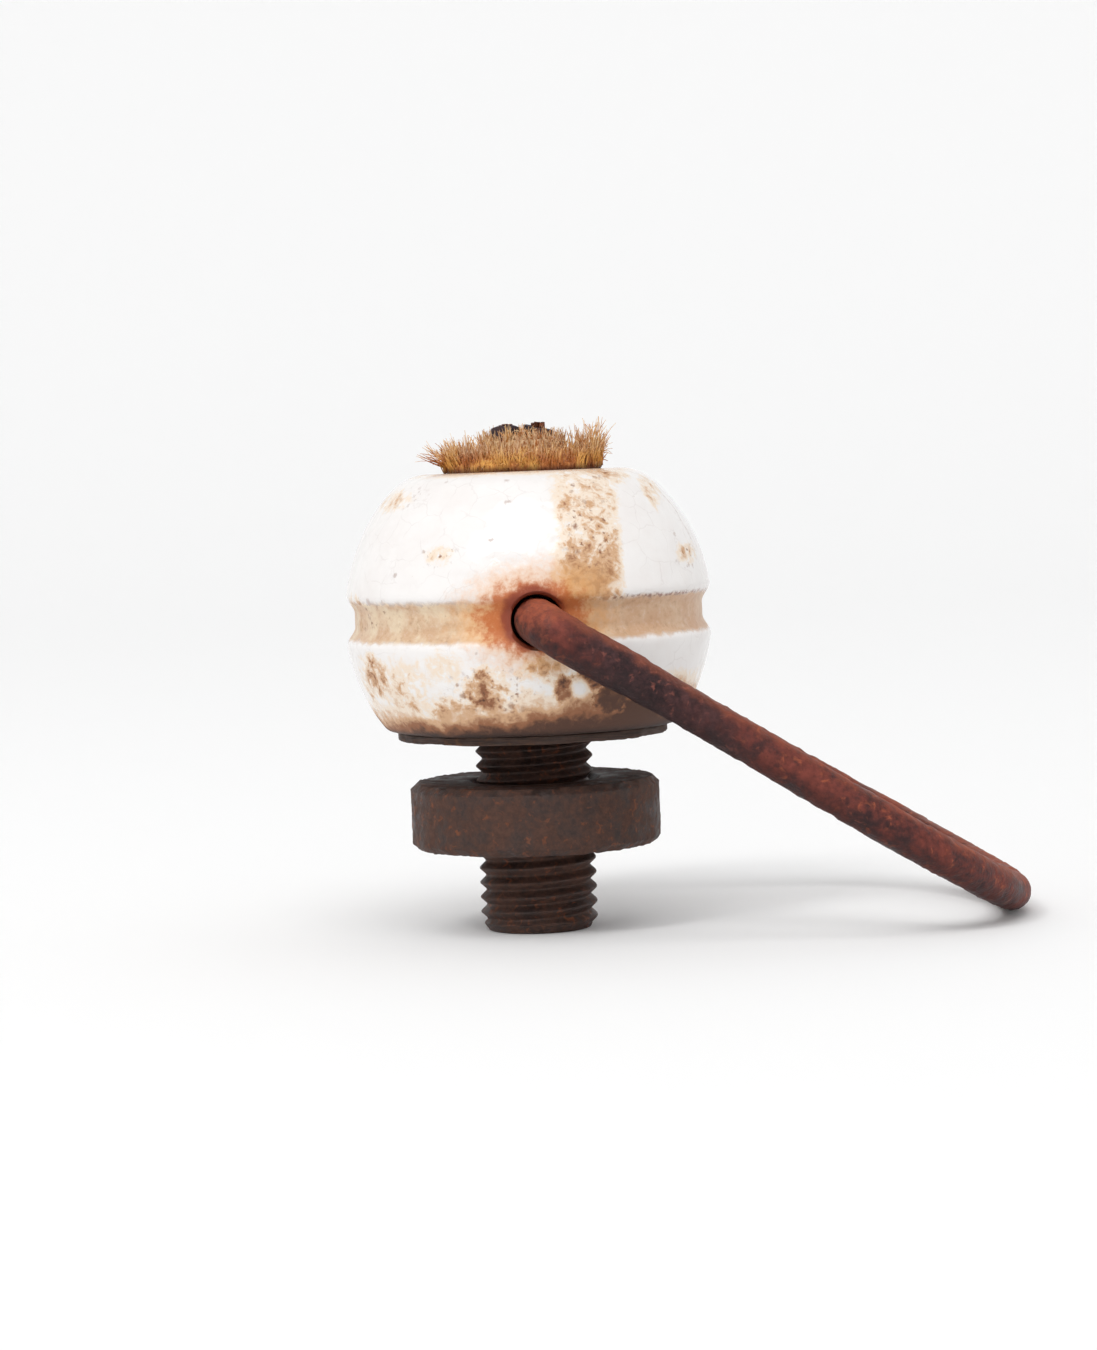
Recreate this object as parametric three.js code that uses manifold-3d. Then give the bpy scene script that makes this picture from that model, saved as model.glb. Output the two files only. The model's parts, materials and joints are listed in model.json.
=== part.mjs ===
// A small hanging insulator for a pendant lamp. A ball of glazed porcelain carries a wire bail in two
// side holes, and a threaded tube through its middle carries the lamp and its cable.
// Millimetres, +Z up. The origin is on the ball's axis, on the plane where the lamp's bracket seats.

import * as THREE from "three";
import { mergeVertices } from "three/addons/utils/BufferGeometryUtils.js";
import Module from "manifold-3d";

const wasm = await Module();
wasm.setup();

// Driving dimensions: the porcelain ball
const BALL_RADIUS = 12.5;
const TOP_ABOVE_GROOVE = 9.7;
const BASE_BELOW_GROOVE = 7.7;
const TOP_EDGE_ROUND = 1.0;
const BASE_EDGE_ROUND = 0.8;
const GROOVE_DEPTH = 0.65;
const GROOVE_FLOOR_WIDTH = 2.6;
const GROOVE_MOUTH_WIDTH = 4.0;
const PIN_HOLE_RADIUS = 1.7;
const PIN_HOLE_BOTTOM = 6.6; // from the ball's axis
const MOUTH_RADIUS = 5.4;
const MOUTH_DEPTH = 4.5;

// Driving dimensions: the wire bail
const WIRE_RADIUS = 1.3;
const BAIL_REACH = 38.2; // from the pivot to the wire's centre at the crown
const BAIL_HALF_WIDTH = 14.4; // from the ball's axis to the centre of a leg
const BAIL_BEND_RADIUS = 2.2;
const PIN_TIP = 7.2; // from the ball's axis to the wire's end face
const BAIL_DROOP = THREE.MathUtils.degToRad(32); // below level, where the bail rests

// Driving dimensions: the threaded tube and what is screwed on it
const STEM_RADIUS = 4;
const STEM_BORE_RADIUS = 3;
const STEM_ABOVE_NUT = 0.4;
const RUNNING_GAP = 0.1; // radial gap of a piece on the tube
const BODY_BORE_RADIUS = STEM_RADIUS + 0.25;
const WASHER_THICKNESS = 0.6;
const SEAT_WASHER_RADIUS = 9.2;
const BRACKET_THICKNESS = 3; // the lamp's strap, held between the seat washer and the collar nut
const COLLAR_RADIUS = 8.5;
const COLLAR_HEIGHT = 4.5;
const COLLAR_CHAMFER = 0.5;
const TOP_NUT_HEIGHT = 2.6;
const TOP_NUT_SLOT = { width: 1.4, depth: 1.1 };

// Driving dimensions: the cable and its packing
const BRAID_RADIUS = 2.85;
const BRAID_THICKNESS = 0.4;
const CABLE_GAP = 0.05; // between the layers of the cable
const RUBBER_RADIUS = 1;
const COPPER_RADIUS = 0.55;
const CABLE_RECESS = 0.5; // the cable's lower cut lies this far inside the tube
const TUFT_HEIGHT = 2.6; // of the frayed ring above the top flat
const TUFT_SPREAD = 6.3;
const STUB_HEIGHT = 3.3; // of the cut wires above the top flat

// How finely round shapes are divided
const BALL_SIDES = 64;
const RING_SIDES = 40;
const CABLE_SIDES = 24;
const CORE_SIDES = 16;
const WIRE_SIDES = 16;

// Heights that follow from the above
const bodyBase = WASHER_THICKNESS;
const grooveHeight = bodyBase + BASE_BELOW_GROOVE;
const bodyTop = grooveHeight + TOP_ABOVE_GROOVE;
const mouthFloor = bodyTop - MOUTH_DEPTH;
const topNutBase = mouthFloor + WASHER_THICKNESS;
const stemTop = topNutBase + TOP_NUT_HEIGHT + STEM_ABOVE_NUT;
const collarTop = -BRACKET_THICKNESS;
const collarBase = collarTop - COLLAR_HEIGHT;
// The tube ends level with the underside of the resting bail, so both stand on one plane.
const stemBase = grooveHeight - BAIL_REACH * Math.sin(BAIL_DROOP) - WIRE_RADIUS;
const cableBase = stemBase + CABLE_RECESS;

// Finishes
const glaze = { color: 0xf2efe8, roughness: 0.15, metalness: 0 };
const rust = { color: 0x5c2f28, roughness: 0.75, metalness: 0.35 };
const darkIron = { color: 0x2b2420, roughness: 0.7, metalness: 0.5 };
const fibreBoard = { color: 0x3a2a22, roughness: 0.85, metalness: 0 };
const hemp = { color: 0xb5803f, roughness: 0.95, metalness: 0 };
const cotton = { color: 0xa8753a, roughness: 0.95, metalness: 0 };
const rubber = { color: 0x1d1a1c, roughness: 0.8, metalness: 0 };
const copper = { color: 0xa8623c, roughness: 0.45, metalness: 0.9 };

function mesh(name, geometry, finish) {
  const part = new THREE.Mesh(geometry, new THREE.MeshStandardMaterial(finish));
  part.name = name;
  return part;
}

// Points of an arc in the plane of a turned profile; angles in radians from the outward radius.
function arc(centreR, centreZ, radius, start, end, steps) {
  const points = [];
  for (let i = 0; i <= steps; i += 1) {
    const angle = start + ((end - start) * i) / steps;
    points.push([centreR + radius * Math.cos(angle), centreZ + radius * Math.sin(angle)]);
  }
  return points;
}

// A solid turned about Z from a closed profile of [radius, height] points, anticlockwise.
function turned(profile, sides) {
  const closed = [...profile, profile[0]].map(([r, z]) => new THREE.Vector2(r, z));
  const geometry = new THREE.LatheGeometry(closed, sides);
  geometry.rotateX(Math.PI / 2);
  return geometry;
}

// A plain ring or tube between two radii and two heights.
function ring(innerRadius, outerRadius, base, top, sides) {
  const profile = [
    [innerRadius, base],
    [outerRadius, base],
    [outerRadius, top],
    [innerRadius, top],
  ];
  return turned(profile, sides);
}

// A solid rod about a vertical axis through (x, 0).
function rod(radius, base, top, sides, x = 0) {
  const geometry = new THREE.CylinderGeometry(radius, radius, top - base, sides);
  geometry.rotateX(Math.PI / 2);
  geometry.translate(x, 0, (base + top) / 2);
  return geometry;
}

function toSolid(geometry) {
  const bare = geometry.clone();
  bare.deleteAttribute("normal");
  bare.deleteAttribute("uv");
  const merged = mergeVertices(bare);
  const vertProperties = new Float32Array(merged.attributes.position.array);
  const triVerts = new Uint32Array(merged.index.array);
  return new wasm.Manifold(new wasm.Mesh({ numProp: 3, vertProperties, triVerts }));
}

function toGeometry(solid) {
  const { numProp, vertProperties, triVerts } = solid.getMesh();
  const geometry = new THREE.BufferGeometry();
  const positions = [];
  for (let i = 0; i < vertProperties.length; i += numProp) {
    positions.push(vertProperties[i], vertProperties[i + 1], vertProperties[i + 2]);
  }
  geometry.setAttribute("position", new THREE.Float32BufferAttribute(positions, 3));
  geometry.setIndex(Array.from(triVerts));
  return geometry;
}

function cut(geometry, tools) {
  const solid = tools.reduce((rest, tool) => rest.subtract(toSolid(tool)), toSolid(geometry));
  return toGeometry(solid);
}

// Where a rounded edge of a given radius meets the ball and the flat at a height above the groove.
function flatEdge(flatHeight, edgeRound) {
  const side = Math.sign(flatHeight);
  const centreZ = flatHeight - side * edgeRound;
  const centreR = Math.sqrt((BALL_RADIUS - edgeRound) ** 2 - centreZ ** 2);
  return { centreR, centreZ, angle: Math.atan2(centreZ, centreR) };
}

function porcelainBody() {
  const base = flatEdge(-BASE_BELOW_GROOVE, BASE_EDGE_ROUND);
  const top = flatEdge(TOP_ABOVE_GROOVE, TOP_EDGE_ROUND);
  const grooveAngle = Math.asin(GROOVE_MOUTH_WIDTH / 2 / BALL_RADIUS);
  const grooveFloor = BALL_RADIUS - GROOVE_DEPTH;
  const aboveGroove = [
    [BODY_BORE_RADIUS, -BASE_BELOW_GROOVE],
    ...arc(base.centreR, base.centreZ, BASE_EDGE_ROUND, -Math.PI / 2, base.angle, 3),
    ...arc(0, 0, BALL_RADIUS, base.angle, -grooveAngle, 6).slice(1),
    [grooveFloor, -GROOVE_FLOOR_WIDTH / 2],
    [grooveFloor, GROOVE_FLOOR_WIDTH / 2],
    ...arc(0, 0, BALL_RADIUS, grooveAngle, top.angle, 8),
    ...arc(top.centreR, top.centreZ, TOP_EDGE_ROUND, top.angle, Math.PI / 2, 3).slice(1),
    [MOUTH_RADIUS, TOP_ABOVE_GROOVE],
    [MOUTH_RADIUS, TOP_ABOVE_GROOVE - MOUTH_DEPTH],
    [BODY_BORE_RADIUS, TOP_ABOVE_GROOVE - MOUTH_DEPTH],
  ];
  const holeLength = BALL_RADIUS;
  const pinHoles = [-1, 1].map((side) => {
    const hole = new THREE.CylinderGeometry(PIN_HOLE_RADIUS, PIN_HOLE_RADIUS, holeLength, CABLE_SIDES);
    hole.translate(0, side * (PIN_HOLE_BOTTOM + holeLength / 2), 0);
    return hole;
  });
  const body = mesh("porcelain_body", cut(turned(aboveGroove, BALL_SIDES), pinHoles), glaze);
  body.position.z = grooveHeight;
  return body;
}

// The centreline of the bail, flat in its own XY plane: pin, bend, leg, half-round crown, and back.
// Each stretch has its own share of the steps, so the straight ones take only one.
class BailLine extends THREE.Curve {
  constructor() {
    super();
    const bendStart = BAIL_HALF_WIDTH - BAIL_BEND_RADIUS;
    const crownStart = BAIL_REACH - BAIL_HALF_WIDTH;
    const leadIn = new THREE.LineCurve3(
      new THREE.Vector3(0, -PIN_TIP, 0),
      new THREE.Vector3(0, -bendStart, 0),
    );
    const leg = new THREE.LineCurve3(
      new THREE.Vector3(BAIL_BEND_RADIUS, -BAIL_HALF_WIDTH, 0),
      new THREE.Vector3(crownStart, -BAIL_HALF_WIDTH, 0),
    );
    const bend = { x: BAIL_BEND_RADIUS, y: -bendStart, radius: BAIL_BEND_RADIUS };
    this.half = [
      { steps: 1, at: (t) => leadIn.getPoint(t) },
      { steps: 6, at: (t) => BailLine.round(bend, Math.PI + (t * Math.PI) / 2) },
      { steps: 1, at: (t) => leg.getPoint(t) },
      {
        steps: 12,
        at: (t) => BailLine.round({ x: crownStart, y: 0, radius: BAIL_HALF_WIDTH }, ((t - 1) * Math.PI) / 2),
      },
    ];
    this.halfSteps = this.half.reduce((sum, stretch) => sum + stretch.steps, 0);
  }

  static round({ x, y, radius }, angle) {
    return new THREE.Vector3(x + radius * Math.cos(angle), y + radius * Math.sin(angle), 0);
  }

  getPoint(t) {
    const mirrored = t > 0.5;
    let step = (mirrored ? 1 - t : t) * 2 * this.halfSteps;
    let stretch = this.half[0];
    for (stretch of this.half) {
      if (step <= stretch.steps) break;
      step -= stretch.steps;
    }
    const point = stretch.at(Math.min(step / stretch.steps, 1));
    if (mirrored) point.y *= -1;
    return point;
  }

  // The steps are already spaced as wanted, so the spacing by length is left out.
  getPointAt(u) {
    return this.getPoint(u);
  }

  getTangentAt(u) {
    return this.getTangent(u);
  }
}

function wireBail() {
  const line = new BailLine();
  const section = new THREE.Shape().absarc(0, 0, WIRE_RADIUS, 0, 2 * Math.PI, false);
  const geometry = new THREE.ExtrudeGeometry(section, {
    extrudePath: line,
    steps: 2 * line.halfSteps,
    curveSegments: WIRE_SIDES,
  });
  const pivot = new THREE.Group();
  pivot.position.z = grooveHeight;
  pivot.rotation.y = BAIL_DROOP;
  pivot.add(mesh("wire_bail", geometry, rust));
  return pivot;
}

function stemTube() {
  return mesh("stem_tube", ring(STEM_BORE_RADIUS, STEM_RADIUS, stemBase, stemTop, RING_SIDES), darkIron);
}

function washer(name, outerRadius, base) {
  const innerRadius = STEM_RADIUS + RUNNING_GAP;
  const geometry = ring(innerRadius, outerRadius, base, base + WASHER_THICKNESS, RING_SIDES);
  return mesh(name, geometry, fibreBoard);
}

// A round nut with a screwdriver slot across its upper face.
function topNut() {
  const outerRadius = MOUTH_RADIUS - 0.3;
  const top = topNutBase + TOP_NUT_HEIGHT;
  const blank = ring(STEM_RADIUS + RUNNING_GAP, outerRadius, topNutBase, top, RING_SIDES);
  const slot = new THREE.BoxGeometry(4 * outerRadius, TOP_NUT_SLOT.width, 2 * TOP_NUT_SLOT.depth);
  slot.translate(0, 0, top);
  return mesh("top_nut", cut(blank, [slot]), darkIron);
}

function collarNut() {
  const innerRadius = STEM_RADIUS + RUNNING_GAP;
  const profile = [
    [innerRadius, collarBase],
    [COLLAR_RADIUS - COLLAR_CHAMFER, collarBase],
    [COLLAR_RADIUS, collarBase + COLLAR_CHAMFER],
    [COLLAR_RADIUS, collarTop - COLLAR_CHAMFER],
    [COLLAR_RADIUS - COLLAR_CHAMFER, collarTop],
    [innerRadius, collarTop],
  ];
  return mesh("collar_nut", turned(profile, RING_SIDES), darkIron);
}

// The packing fills the mouth round the tube's end and the cable, and spreads over the top flat.
function hempPacking() {
  const gap = 0.15;
  const mouthFill = MOUTH_RADIUS - gap;
  const aroundStem = STEM_RADIUS + gap;
  const aroundCable = BRAID_RADIUS + gap;
  const underTuft = bodyTop + gap;
  const tuftTop = bodyTop + TUFT_HEIGHT;
  const profile = [
    [aroundStem, topNutBase + TOP_NUT_HEIGHT + gap],
    [mouthFill, topNutBase + TOP_NUT_HEIGHT + gap],
    [mouthFill, underTuft],
    [MOUTH_RADIUS + gap, underTuft],
    [TUFT_SPREAD, tuftTop],
    [TUFT_SPREAD - 1, tuftTop + gap],
    [aroundCable, tuftTop - 0.6],
    [aroundCable, stemTop + gap],
    [aroundStem, stemTop + gap],
  ];
  return mesh("hemp_packing", turned(profile, RING_SIDES), hemp);
}

function cable() {
  const group = new THREE.Group();
  const braidTop = bodyTop + TUFT_HEIGHT;
  const stubTop = bodyTop + STUB_HEIGHT;
  const braidBore = BRAID_RADIUS - BRAID_THICKNESS;
  const braid = ring(braidBore, BRAID_RADIUS, cableBase, braidTop, CABLE_SIDES);
  group.add(mesh("cable_braid", braid, cotton));

  const coreOffset = RUBBER_RADIUS + 2 * CABLE_GAP;
  const filler = rod(braidBore - CABLE_GAP, cableBase, bodyTop + TUFT_HEIGHT - 0.4, CABLE_SIDES);
  const coreHoles = [-1, 1].map((side) =>
    rod(RUBBER_RADIUS + CABLE_GAP, cableBase - 1, stubTop + 1, CORE_SIDES, side * coreOffset),
  );
  group.add(mesh("jute_filler", cut(filler, coreHoles), hemp));

  for (const [label, side] of [["left", -1], ["right", 1]]) {
    const sleeve = ring(COPPER_RADIUS + CABLE_GAP, RUBBER_RADIUS, cableBase, stubTop, CORE_SIDES);
    sleeve.translate(side * coreOffset, 0, 0);
    group.add(mesh(`rubber_core_${label}`, sleeve, rubber));
    const wire = rod(COPPER_RADIUS, cableBase, stubTop, CORE_SIDES, side * coreOffset);
    group.add(mesh(`copper_wire_${label}`, wire, copper));
  }
  return group;
}

const insulator = new THREE.Group();
insulator.add(
  porcelainBody(),
  wireBail(),
  stemTube(),
  washer("top_washer", MOUTH_RADIUS - 0.3, mouthFloor),
  topNut(),
  washer("seat_washer", SEAT_WASHER_RADIUS, 0),
  collarNut(),
  hempPacking(),
  cable(),
);

export default insulator;
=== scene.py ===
"""Looks of a small porcelain hanging insulator, built round its packed CAD frame.

Metres, in the frame's own axes: +Z up along the ball's axis, the bail's side holes along Y, and the
resting bail towards +X. Every size starts from the frame or from the settings in the sidebar.
"""

import json
import math
import random

import bpy
import numpy as np
from bpy.props import FloatProperty, FloatVectorProperty, IntProperty, PointerProperty
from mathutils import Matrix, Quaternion, Vector, noise


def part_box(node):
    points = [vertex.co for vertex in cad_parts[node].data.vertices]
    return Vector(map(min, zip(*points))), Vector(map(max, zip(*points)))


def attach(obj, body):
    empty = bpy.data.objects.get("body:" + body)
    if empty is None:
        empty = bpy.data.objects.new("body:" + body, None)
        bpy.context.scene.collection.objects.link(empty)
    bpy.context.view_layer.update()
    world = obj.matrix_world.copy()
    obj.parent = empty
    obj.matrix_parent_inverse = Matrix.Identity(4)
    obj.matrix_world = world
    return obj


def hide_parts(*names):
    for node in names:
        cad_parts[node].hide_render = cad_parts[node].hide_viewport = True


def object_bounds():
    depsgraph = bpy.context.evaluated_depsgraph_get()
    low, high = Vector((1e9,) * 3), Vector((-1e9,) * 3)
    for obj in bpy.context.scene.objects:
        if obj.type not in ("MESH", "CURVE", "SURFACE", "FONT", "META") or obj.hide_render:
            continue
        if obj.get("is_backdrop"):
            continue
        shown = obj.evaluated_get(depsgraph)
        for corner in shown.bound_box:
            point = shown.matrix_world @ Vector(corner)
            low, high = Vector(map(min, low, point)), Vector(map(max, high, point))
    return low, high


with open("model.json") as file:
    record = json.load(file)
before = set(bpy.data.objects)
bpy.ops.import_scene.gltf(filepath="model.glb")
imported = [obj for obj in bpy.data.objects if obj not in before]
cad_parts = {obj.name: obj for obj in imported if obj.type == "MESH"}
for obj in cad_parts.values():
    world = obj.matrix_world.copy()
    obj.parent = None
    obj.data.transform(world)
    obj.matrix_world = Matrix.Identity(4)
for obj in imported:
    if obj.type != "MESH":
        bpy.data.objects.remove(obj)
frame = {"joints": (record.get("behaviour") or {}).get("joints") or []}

bl_info = {
    "name": "Porcelain hanging insulator",
    "version": (1, 0, 0),
    "blender": (4, 5, 0),
    "location": "3D View > Sidebar > Insulator",
    "description": "Builds a glazed ball insulator with its wire bail, threaded tube and frayed cable",
    "category": "Add Mesh",
}

MM = 0.001
CAD_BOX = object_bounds()
MIDDLE = (CAD_BOX[0] + CAD_BOX[1]) / 2
PIVOT = Vector(frame["joints"][0]["pos_m"])
BALL_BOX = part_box("porcelain_body")
BAIL_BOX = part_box("wire_bail")
TOP_FLAT = BALL_BOX[1].z
AGED = "aged_"
PACKING_SEED, CABLE_SEED = 11, 23
PICTURE_SHAPE = 1.23063  # the picture's height over its width


def tint(hex_colour):
    """A colour written as six hex digits, as linear red, green and blue."""
    values = [int(hex_colour[i : i + 2], 16) / 255 for i in (0, 2, 4)]
    return tuple(v / 12.92 if v <= 0.04045 else ((v + 0.055) / 1.055) ** 2.4 for v in values)


def length_setting(name, description, default, **limits):
    """A length that is kept in metres and shown in scene units."""
    return FloatProperty(
        name=name, description=description, default=default, unit="LENGTH", precision=5, **limits
    )


def colour_setting(name, description, hex_colour):
    """A plain red, green and blue colour."""
    return FloatVectorProperty(
        name=name, description=description, default=tint(hex_colour), subtype="COLOR", min=0, max=1
    )


def angle_setting(name, description, degrees):
    """An angle that is shown in degrees."""
    return FloatProperty(name=name, description=description, default=math.radians(degrees), subtype="ANGLE")


# ---- Settings -------------------------------------------------------------------------------------


class BallSettings(bpy.types.PropertyGroup):
    """Sizes and colours of the porcelain ball"""

    groove_depth: length_setting("Groove depth", "Depth of the groove round the equator", 0.65 * MM)
    groove_floor: length_setting("Groove floor", "Width of the groove at its floor", 0.9 * MM)
    groove_mouth: length_setting("Groove mouth", "Width of the groove at the ball's surface", 3.5 * MM)
    widest: length_setting("Widest", "Height above the groove's middle where the ball is widest", 2.0 * MM)
    hole_radius: length_setting("Side hole radius", "Radius of the two holes for the bail", 1.7 * MM)
    hole_bottom: length_setting("Side hole bottom", "Distance of a hole's bottom from the axis", 6.6 * MM)
    mouth_radius: length_setting("Mouth radius", "Radius of the recess in the top", 5.4 * MM)
    mouth_depth: length_setting("Mouth depth", "Depth of the recess in the top", 4.5 * MM)
    bore_radius: length_setting("Bore radius", "Radius of the bore for the tube", 4.25 * MM)
    wobble: length_setting("Wobble", "How far the hand-pressed shape strays from round", 0.06 * MM)
    glaze: colour_setting("Glaze", "Clean glaze", "f1eeec")
    film: colour_setting("Film", "Thinnest layer of dirt", "efdcc6")
    tan: colour_setting("Tan", "Thin brown layer of dirt", "cfa278")
    brown: colour_setting("Brown", "Thick layer of dirt", "94603f")
    dark: colour_setting("Dark", "Old caked dirt", "50301f")
    halo: colour_setting("Rust halo", "Rust that bled into the glaze round the holes", "bf6122")


class BailSettings(bpy.types.PropertyGroup):
    """Sizes and colours of the wire bail"""

    wire_radius: length_setting("Wire radius", "Half the thickness of the wire", 1.3 * MM)
    bend_radius: length_setting("Bend radius", "Radius of the bends into the side holes", 2.2 * MM)
    pin_tip: length_setting("Pin tip", "Distance of the wire's ends from the ball's axis", 7.2 * MM)
    sag: length_setting("Sag", "How far the legs drop beside the ball", 0.2 * MM)
    sway: length_setting("Sway", "How far the hand-bent legs wander", 0.12 * MM)
    build_up: length_setting("Build-up", "Thickness of the rust on the wire near the ball", 0.17 * MM)
    pitting: length_setting("Pitting", "Depth of the rust pits", 0.09 * MM)
    dark: colour_setting("Dark rust", "Old dense rust", "3a2021")
    middle: colour_setting("Red rust", "Rust over most of the wire", "76392f")
    bright: colour_setting("Bright rust", "Fresh rust in small patches", "ac5a3c")


class IronSettings(bpy.types.PropertyGroup):
    """Sizes and colours of the tube, the nuts and the washers"""

    pitch: length_setting("Thread pitch", "Distance between two turns of the tube's thread", 1.0 * MM)
    thread_depth: length_setting("Thread depth", "Depth of the tube's thread", 0.42 * MM)
    iron: colour_setting("Iron", "Blackened iron", "382a26")
    rust: colour_setting("Rust", "Rust in the corners of the iron", "80492e")
    fibre: colour_setting("Fibre board", "Vulcanised fibre of the washers", "4a3328")


class CableSettings(bpy.types.PropertyGroup):
    """Sizes and colours of the cable stub and its packing"""

    tuft_strands: IntProperty(
        name="Tuft strands", description="Strands in the frayed ring", default=150, min=8, max=400
    )
    fibres_per_strand: IntProperty(
        name="Fibres per strand", description="Loose fibres that a strand frays into", default=13, min=2
    )
    fibre_radius: length_setting("Fibre radius", "Half the thickness of a loose fibre", 0.05 * MM)
    hemp: colour_setting("Hemp", "Golden fibre in the light", "ecb562")
    hemp_red: colour_setting("Red hemp", "Fibre in redder clumps", "cd8450")
    hemp_dark: colour_setting("Dark hemp", "Fibre in the shade", "a55f26")
    hemp_pale: colour_setting("Pale hemp", "Bleached tips of the fibre", "efd8b2")
    cotton: colour_setting("Cotton", "Braid of the cable", "d3a263")
    rubber: colour_setting("Rubber", "Old rubber round the wires", "3d2d33")
    copper: colour_setting("Copper", "Tarnished copper wire", "8a5138")


class StageSettings(bpy.types.PropertyGroup):
    """Camera, light and floor"""

    distance: length_setting("Distance", "From the camera to the middle of the ball", 235 * MM)
    azimuth: angle_setting("Azimuth", "Camera to the right of the -Y axis", -2.6)
    elevation: angle_setting("Elevation", "Camera above the groove", 2.4)
    roll: angle_setting("Roll", "Lean of the camera", -2.1)
    view_width: length_setting("View width", "Width of the picture at the object", 75 * MM)
    aim: length_setting("Aim", "How far beside the ball's axis the camera points", 1.2 * MM)
    floor: colour_setting("Floor", "Pale floor and backdrop", "f8f8f8")
    key_power: FloatProperty(
        name="Key light", description="Power of the main light", default=0.75, unit="POWER"
    )
    sun: FloatProperty(name="Sun", description="Strength of the even light from above", default=0.9, min=0)
    sky: FloatProperty(name="Sky", description="Strength of the light from all round", default=0.66, min=0)


# ---- Mesh tools -----------------------------------------------------------------------------------


def link_piece(name, mesh, node, material, body="insulator"):
    """Makes a mesh a piece of the object that rides on a body and stands for a CAD node."""
    obj = bpy.data.objects.new(name, mesh)
    bpy.context.scene.collection.objects.link(obj)
    mesh.materials.clear()
    mesh.materials.append(material)
    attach(obj, body)
    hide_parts(node)
    return obj


def grid_faces(rows, sides, close_rows, start=0):
    """Quads over a grid of points, closed round its sides and, if asked, from the last row to the first."""
    row = np.arange(rows if close_rows else rows - 1)[:, None]
    side = np.arange(sides)[None, :]
    after_row, after_side = (row + 1) % rows, (side + 1) % sides
    corners = [
        row * sides + side, row * sides + after_side, after_row * sides + after_side, after_row * sides + side
    ]
    return (np.stack([c * np.ones_like(side + row) for c in corners], -1).reshape(-1, 4) + start).tolist()


def mesh_from(name, points, faces, sharp_angle=40):
    """A smooth-shaded mesh whose edges stay sharp past an angle in degrees."""
    mesh = bpy.data.meshes.new(name)
    mesh.from_pydata(np.asarray(points, float).reshape(-1, 3).tolist(), [], faces)
    mesh.validate()
    mesh.shade_smooth()
    mesh.set_sharp_from_angle(angle=math.radians(sharp_angle))
    return mesh


def turn(profile, sides, centre=(0, 0)):
    """Points [profile][sides] of a closed profile of (radius, height), turned about a vertical axis."""
    r, z = np.array(profile, float).T
    angle = np.linspace(0, 2 * math.pi, sides, endpoint=False)
    x = centre[0] + r[:, None] * np.cos(angle)
    y = centre[1] + r[:, None] * np.sin(angle)
    return np.stack([x, y, np.broadcast_to(z[:, None], x.shape)], -1)


def turned_mesh(name, profile, sides, centre=(0, 0)):
    """A ring-shaped solid turned from a closed profile that runs anticlockwise."""
    points = turn(profile, sides, centre)
    return mesh_from(name, points, grid_faces(len(profile), sides, True))


def relief_sleeve(name, heights, radii, bore, sharp_angle=40):
    """A sleeve with outside radii [height][side], and a bore of (radius, height) from the top down."""
    sides = radii.shape[1]
    angle = np.linspace(0, 2 * math.pi, sides, endpoint=False)
    outside = np.stack([radii * np.cos(angle), radii * np.sin(angle), heights[:, None] + 0 * radii], -1)
    points = np.concatenate([outside, turn(bore, sides)])
    return mesh_from(name, points, grid_faces(len(points), sides, True), sharp_angle)


def arc(centre_r, centre_z, radius, start, end, step):
    """Points of an arc, about a step apart."""
    count = max(2, round(abs(end - start) * radius / step))
    angles = [start + (end - start) * i / count for i in range(count + 1)]
    return [(centre_r + radius * math.cos(a), centre_z + radius * math.sin(a)) for a in angles]


def eased(corners, step, closed=True):
    """An outline through corners of (radius, height, rounding), with rounded corners and even points."""
    count = len(corners)
    path = []
    for i, (x, z, ease) in enumerate(corners):
        here = Vector((x, z))
        ends = [Vector(corners[(i + d) % count][:2]) for d in (-1, 1)]
        if ease <= 0 or (not closed and i in (0, count - 1)):
            path.append(here)
            continue
        before, after = [here + (e - here).normalized() * min(ease, (e - here).length / 2) for e in ends]
        for k in range(5):
            t = k / 4
            path.append(before * (1 - t) ** 2 + here * 2 * t * (1 - t) + after * t**2)
    if closed:
        path.append(path[0])
    dense = [path[0]]
    for a, b in zip(path, path[1:]):
        parts = max(1, round((b - a).length / step))
        dense += [a.lerp(b, k / parts) for k in range(1, parts + 1)]
    if closed:
        dense.pop()
    return [tuple(p) for p in dense]


def share(value, low, high, least=0.0):
    """How far value has gone from low to high, from least to 1."""
    return min(1.0, max(least, (value - low) / (high - low)))


def from_axis(point):
    """A point's distance from the ball's axis."""
    return math.hypot(point[0], point[1])


LAYERS_APART = Vector((17.3, 5.1, 9.7))  # keeps one layer's noise from lining up with the next
CALM = 0.12  # noise below this leaves the surface alone between pits and crusts


def roughen(mesh, layers, keep=None):
    """Moves vertices along their normals by layers of noise.

    A layer is (kind, size, height), in metres: swell goes both ways, pit only inwards, crust only
    outwards. keep(point) gives the share of the movement that a point takes.
    """
    count = len(mesh.vertices)
    points, normals = np.empty(count * 3), np.empty(count * 3)
    mesh.vertices.foreach_get("co", points)
    mesh.vertex_normals.foreach_get("vector", normals)
    points, normals = points.reshape(-1, 3), normals.reshape(-1, 3)
    for i, point in enumerate(points):
        kept = 1.0 if keep is None else keep(point)
        if kept <= 0:
            continue
        offset = 0.0
        for seed, (kind, size, height) in enumerate(layers):
            value = noise.noise(Vector(point) / size + LAYERS_APART * (seed + 1))
            if kind == "pit":
                value = -max(0.0, value - CALM) * 2
            elif kind == "crust":
                value = max(0.0, value - CALM) * 2
            offset += value * height
        points[i] += normals[i] * offset * kept
    mesh.vertices.foreach_set("co", points.ravel())
    mesh.update()


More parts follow.
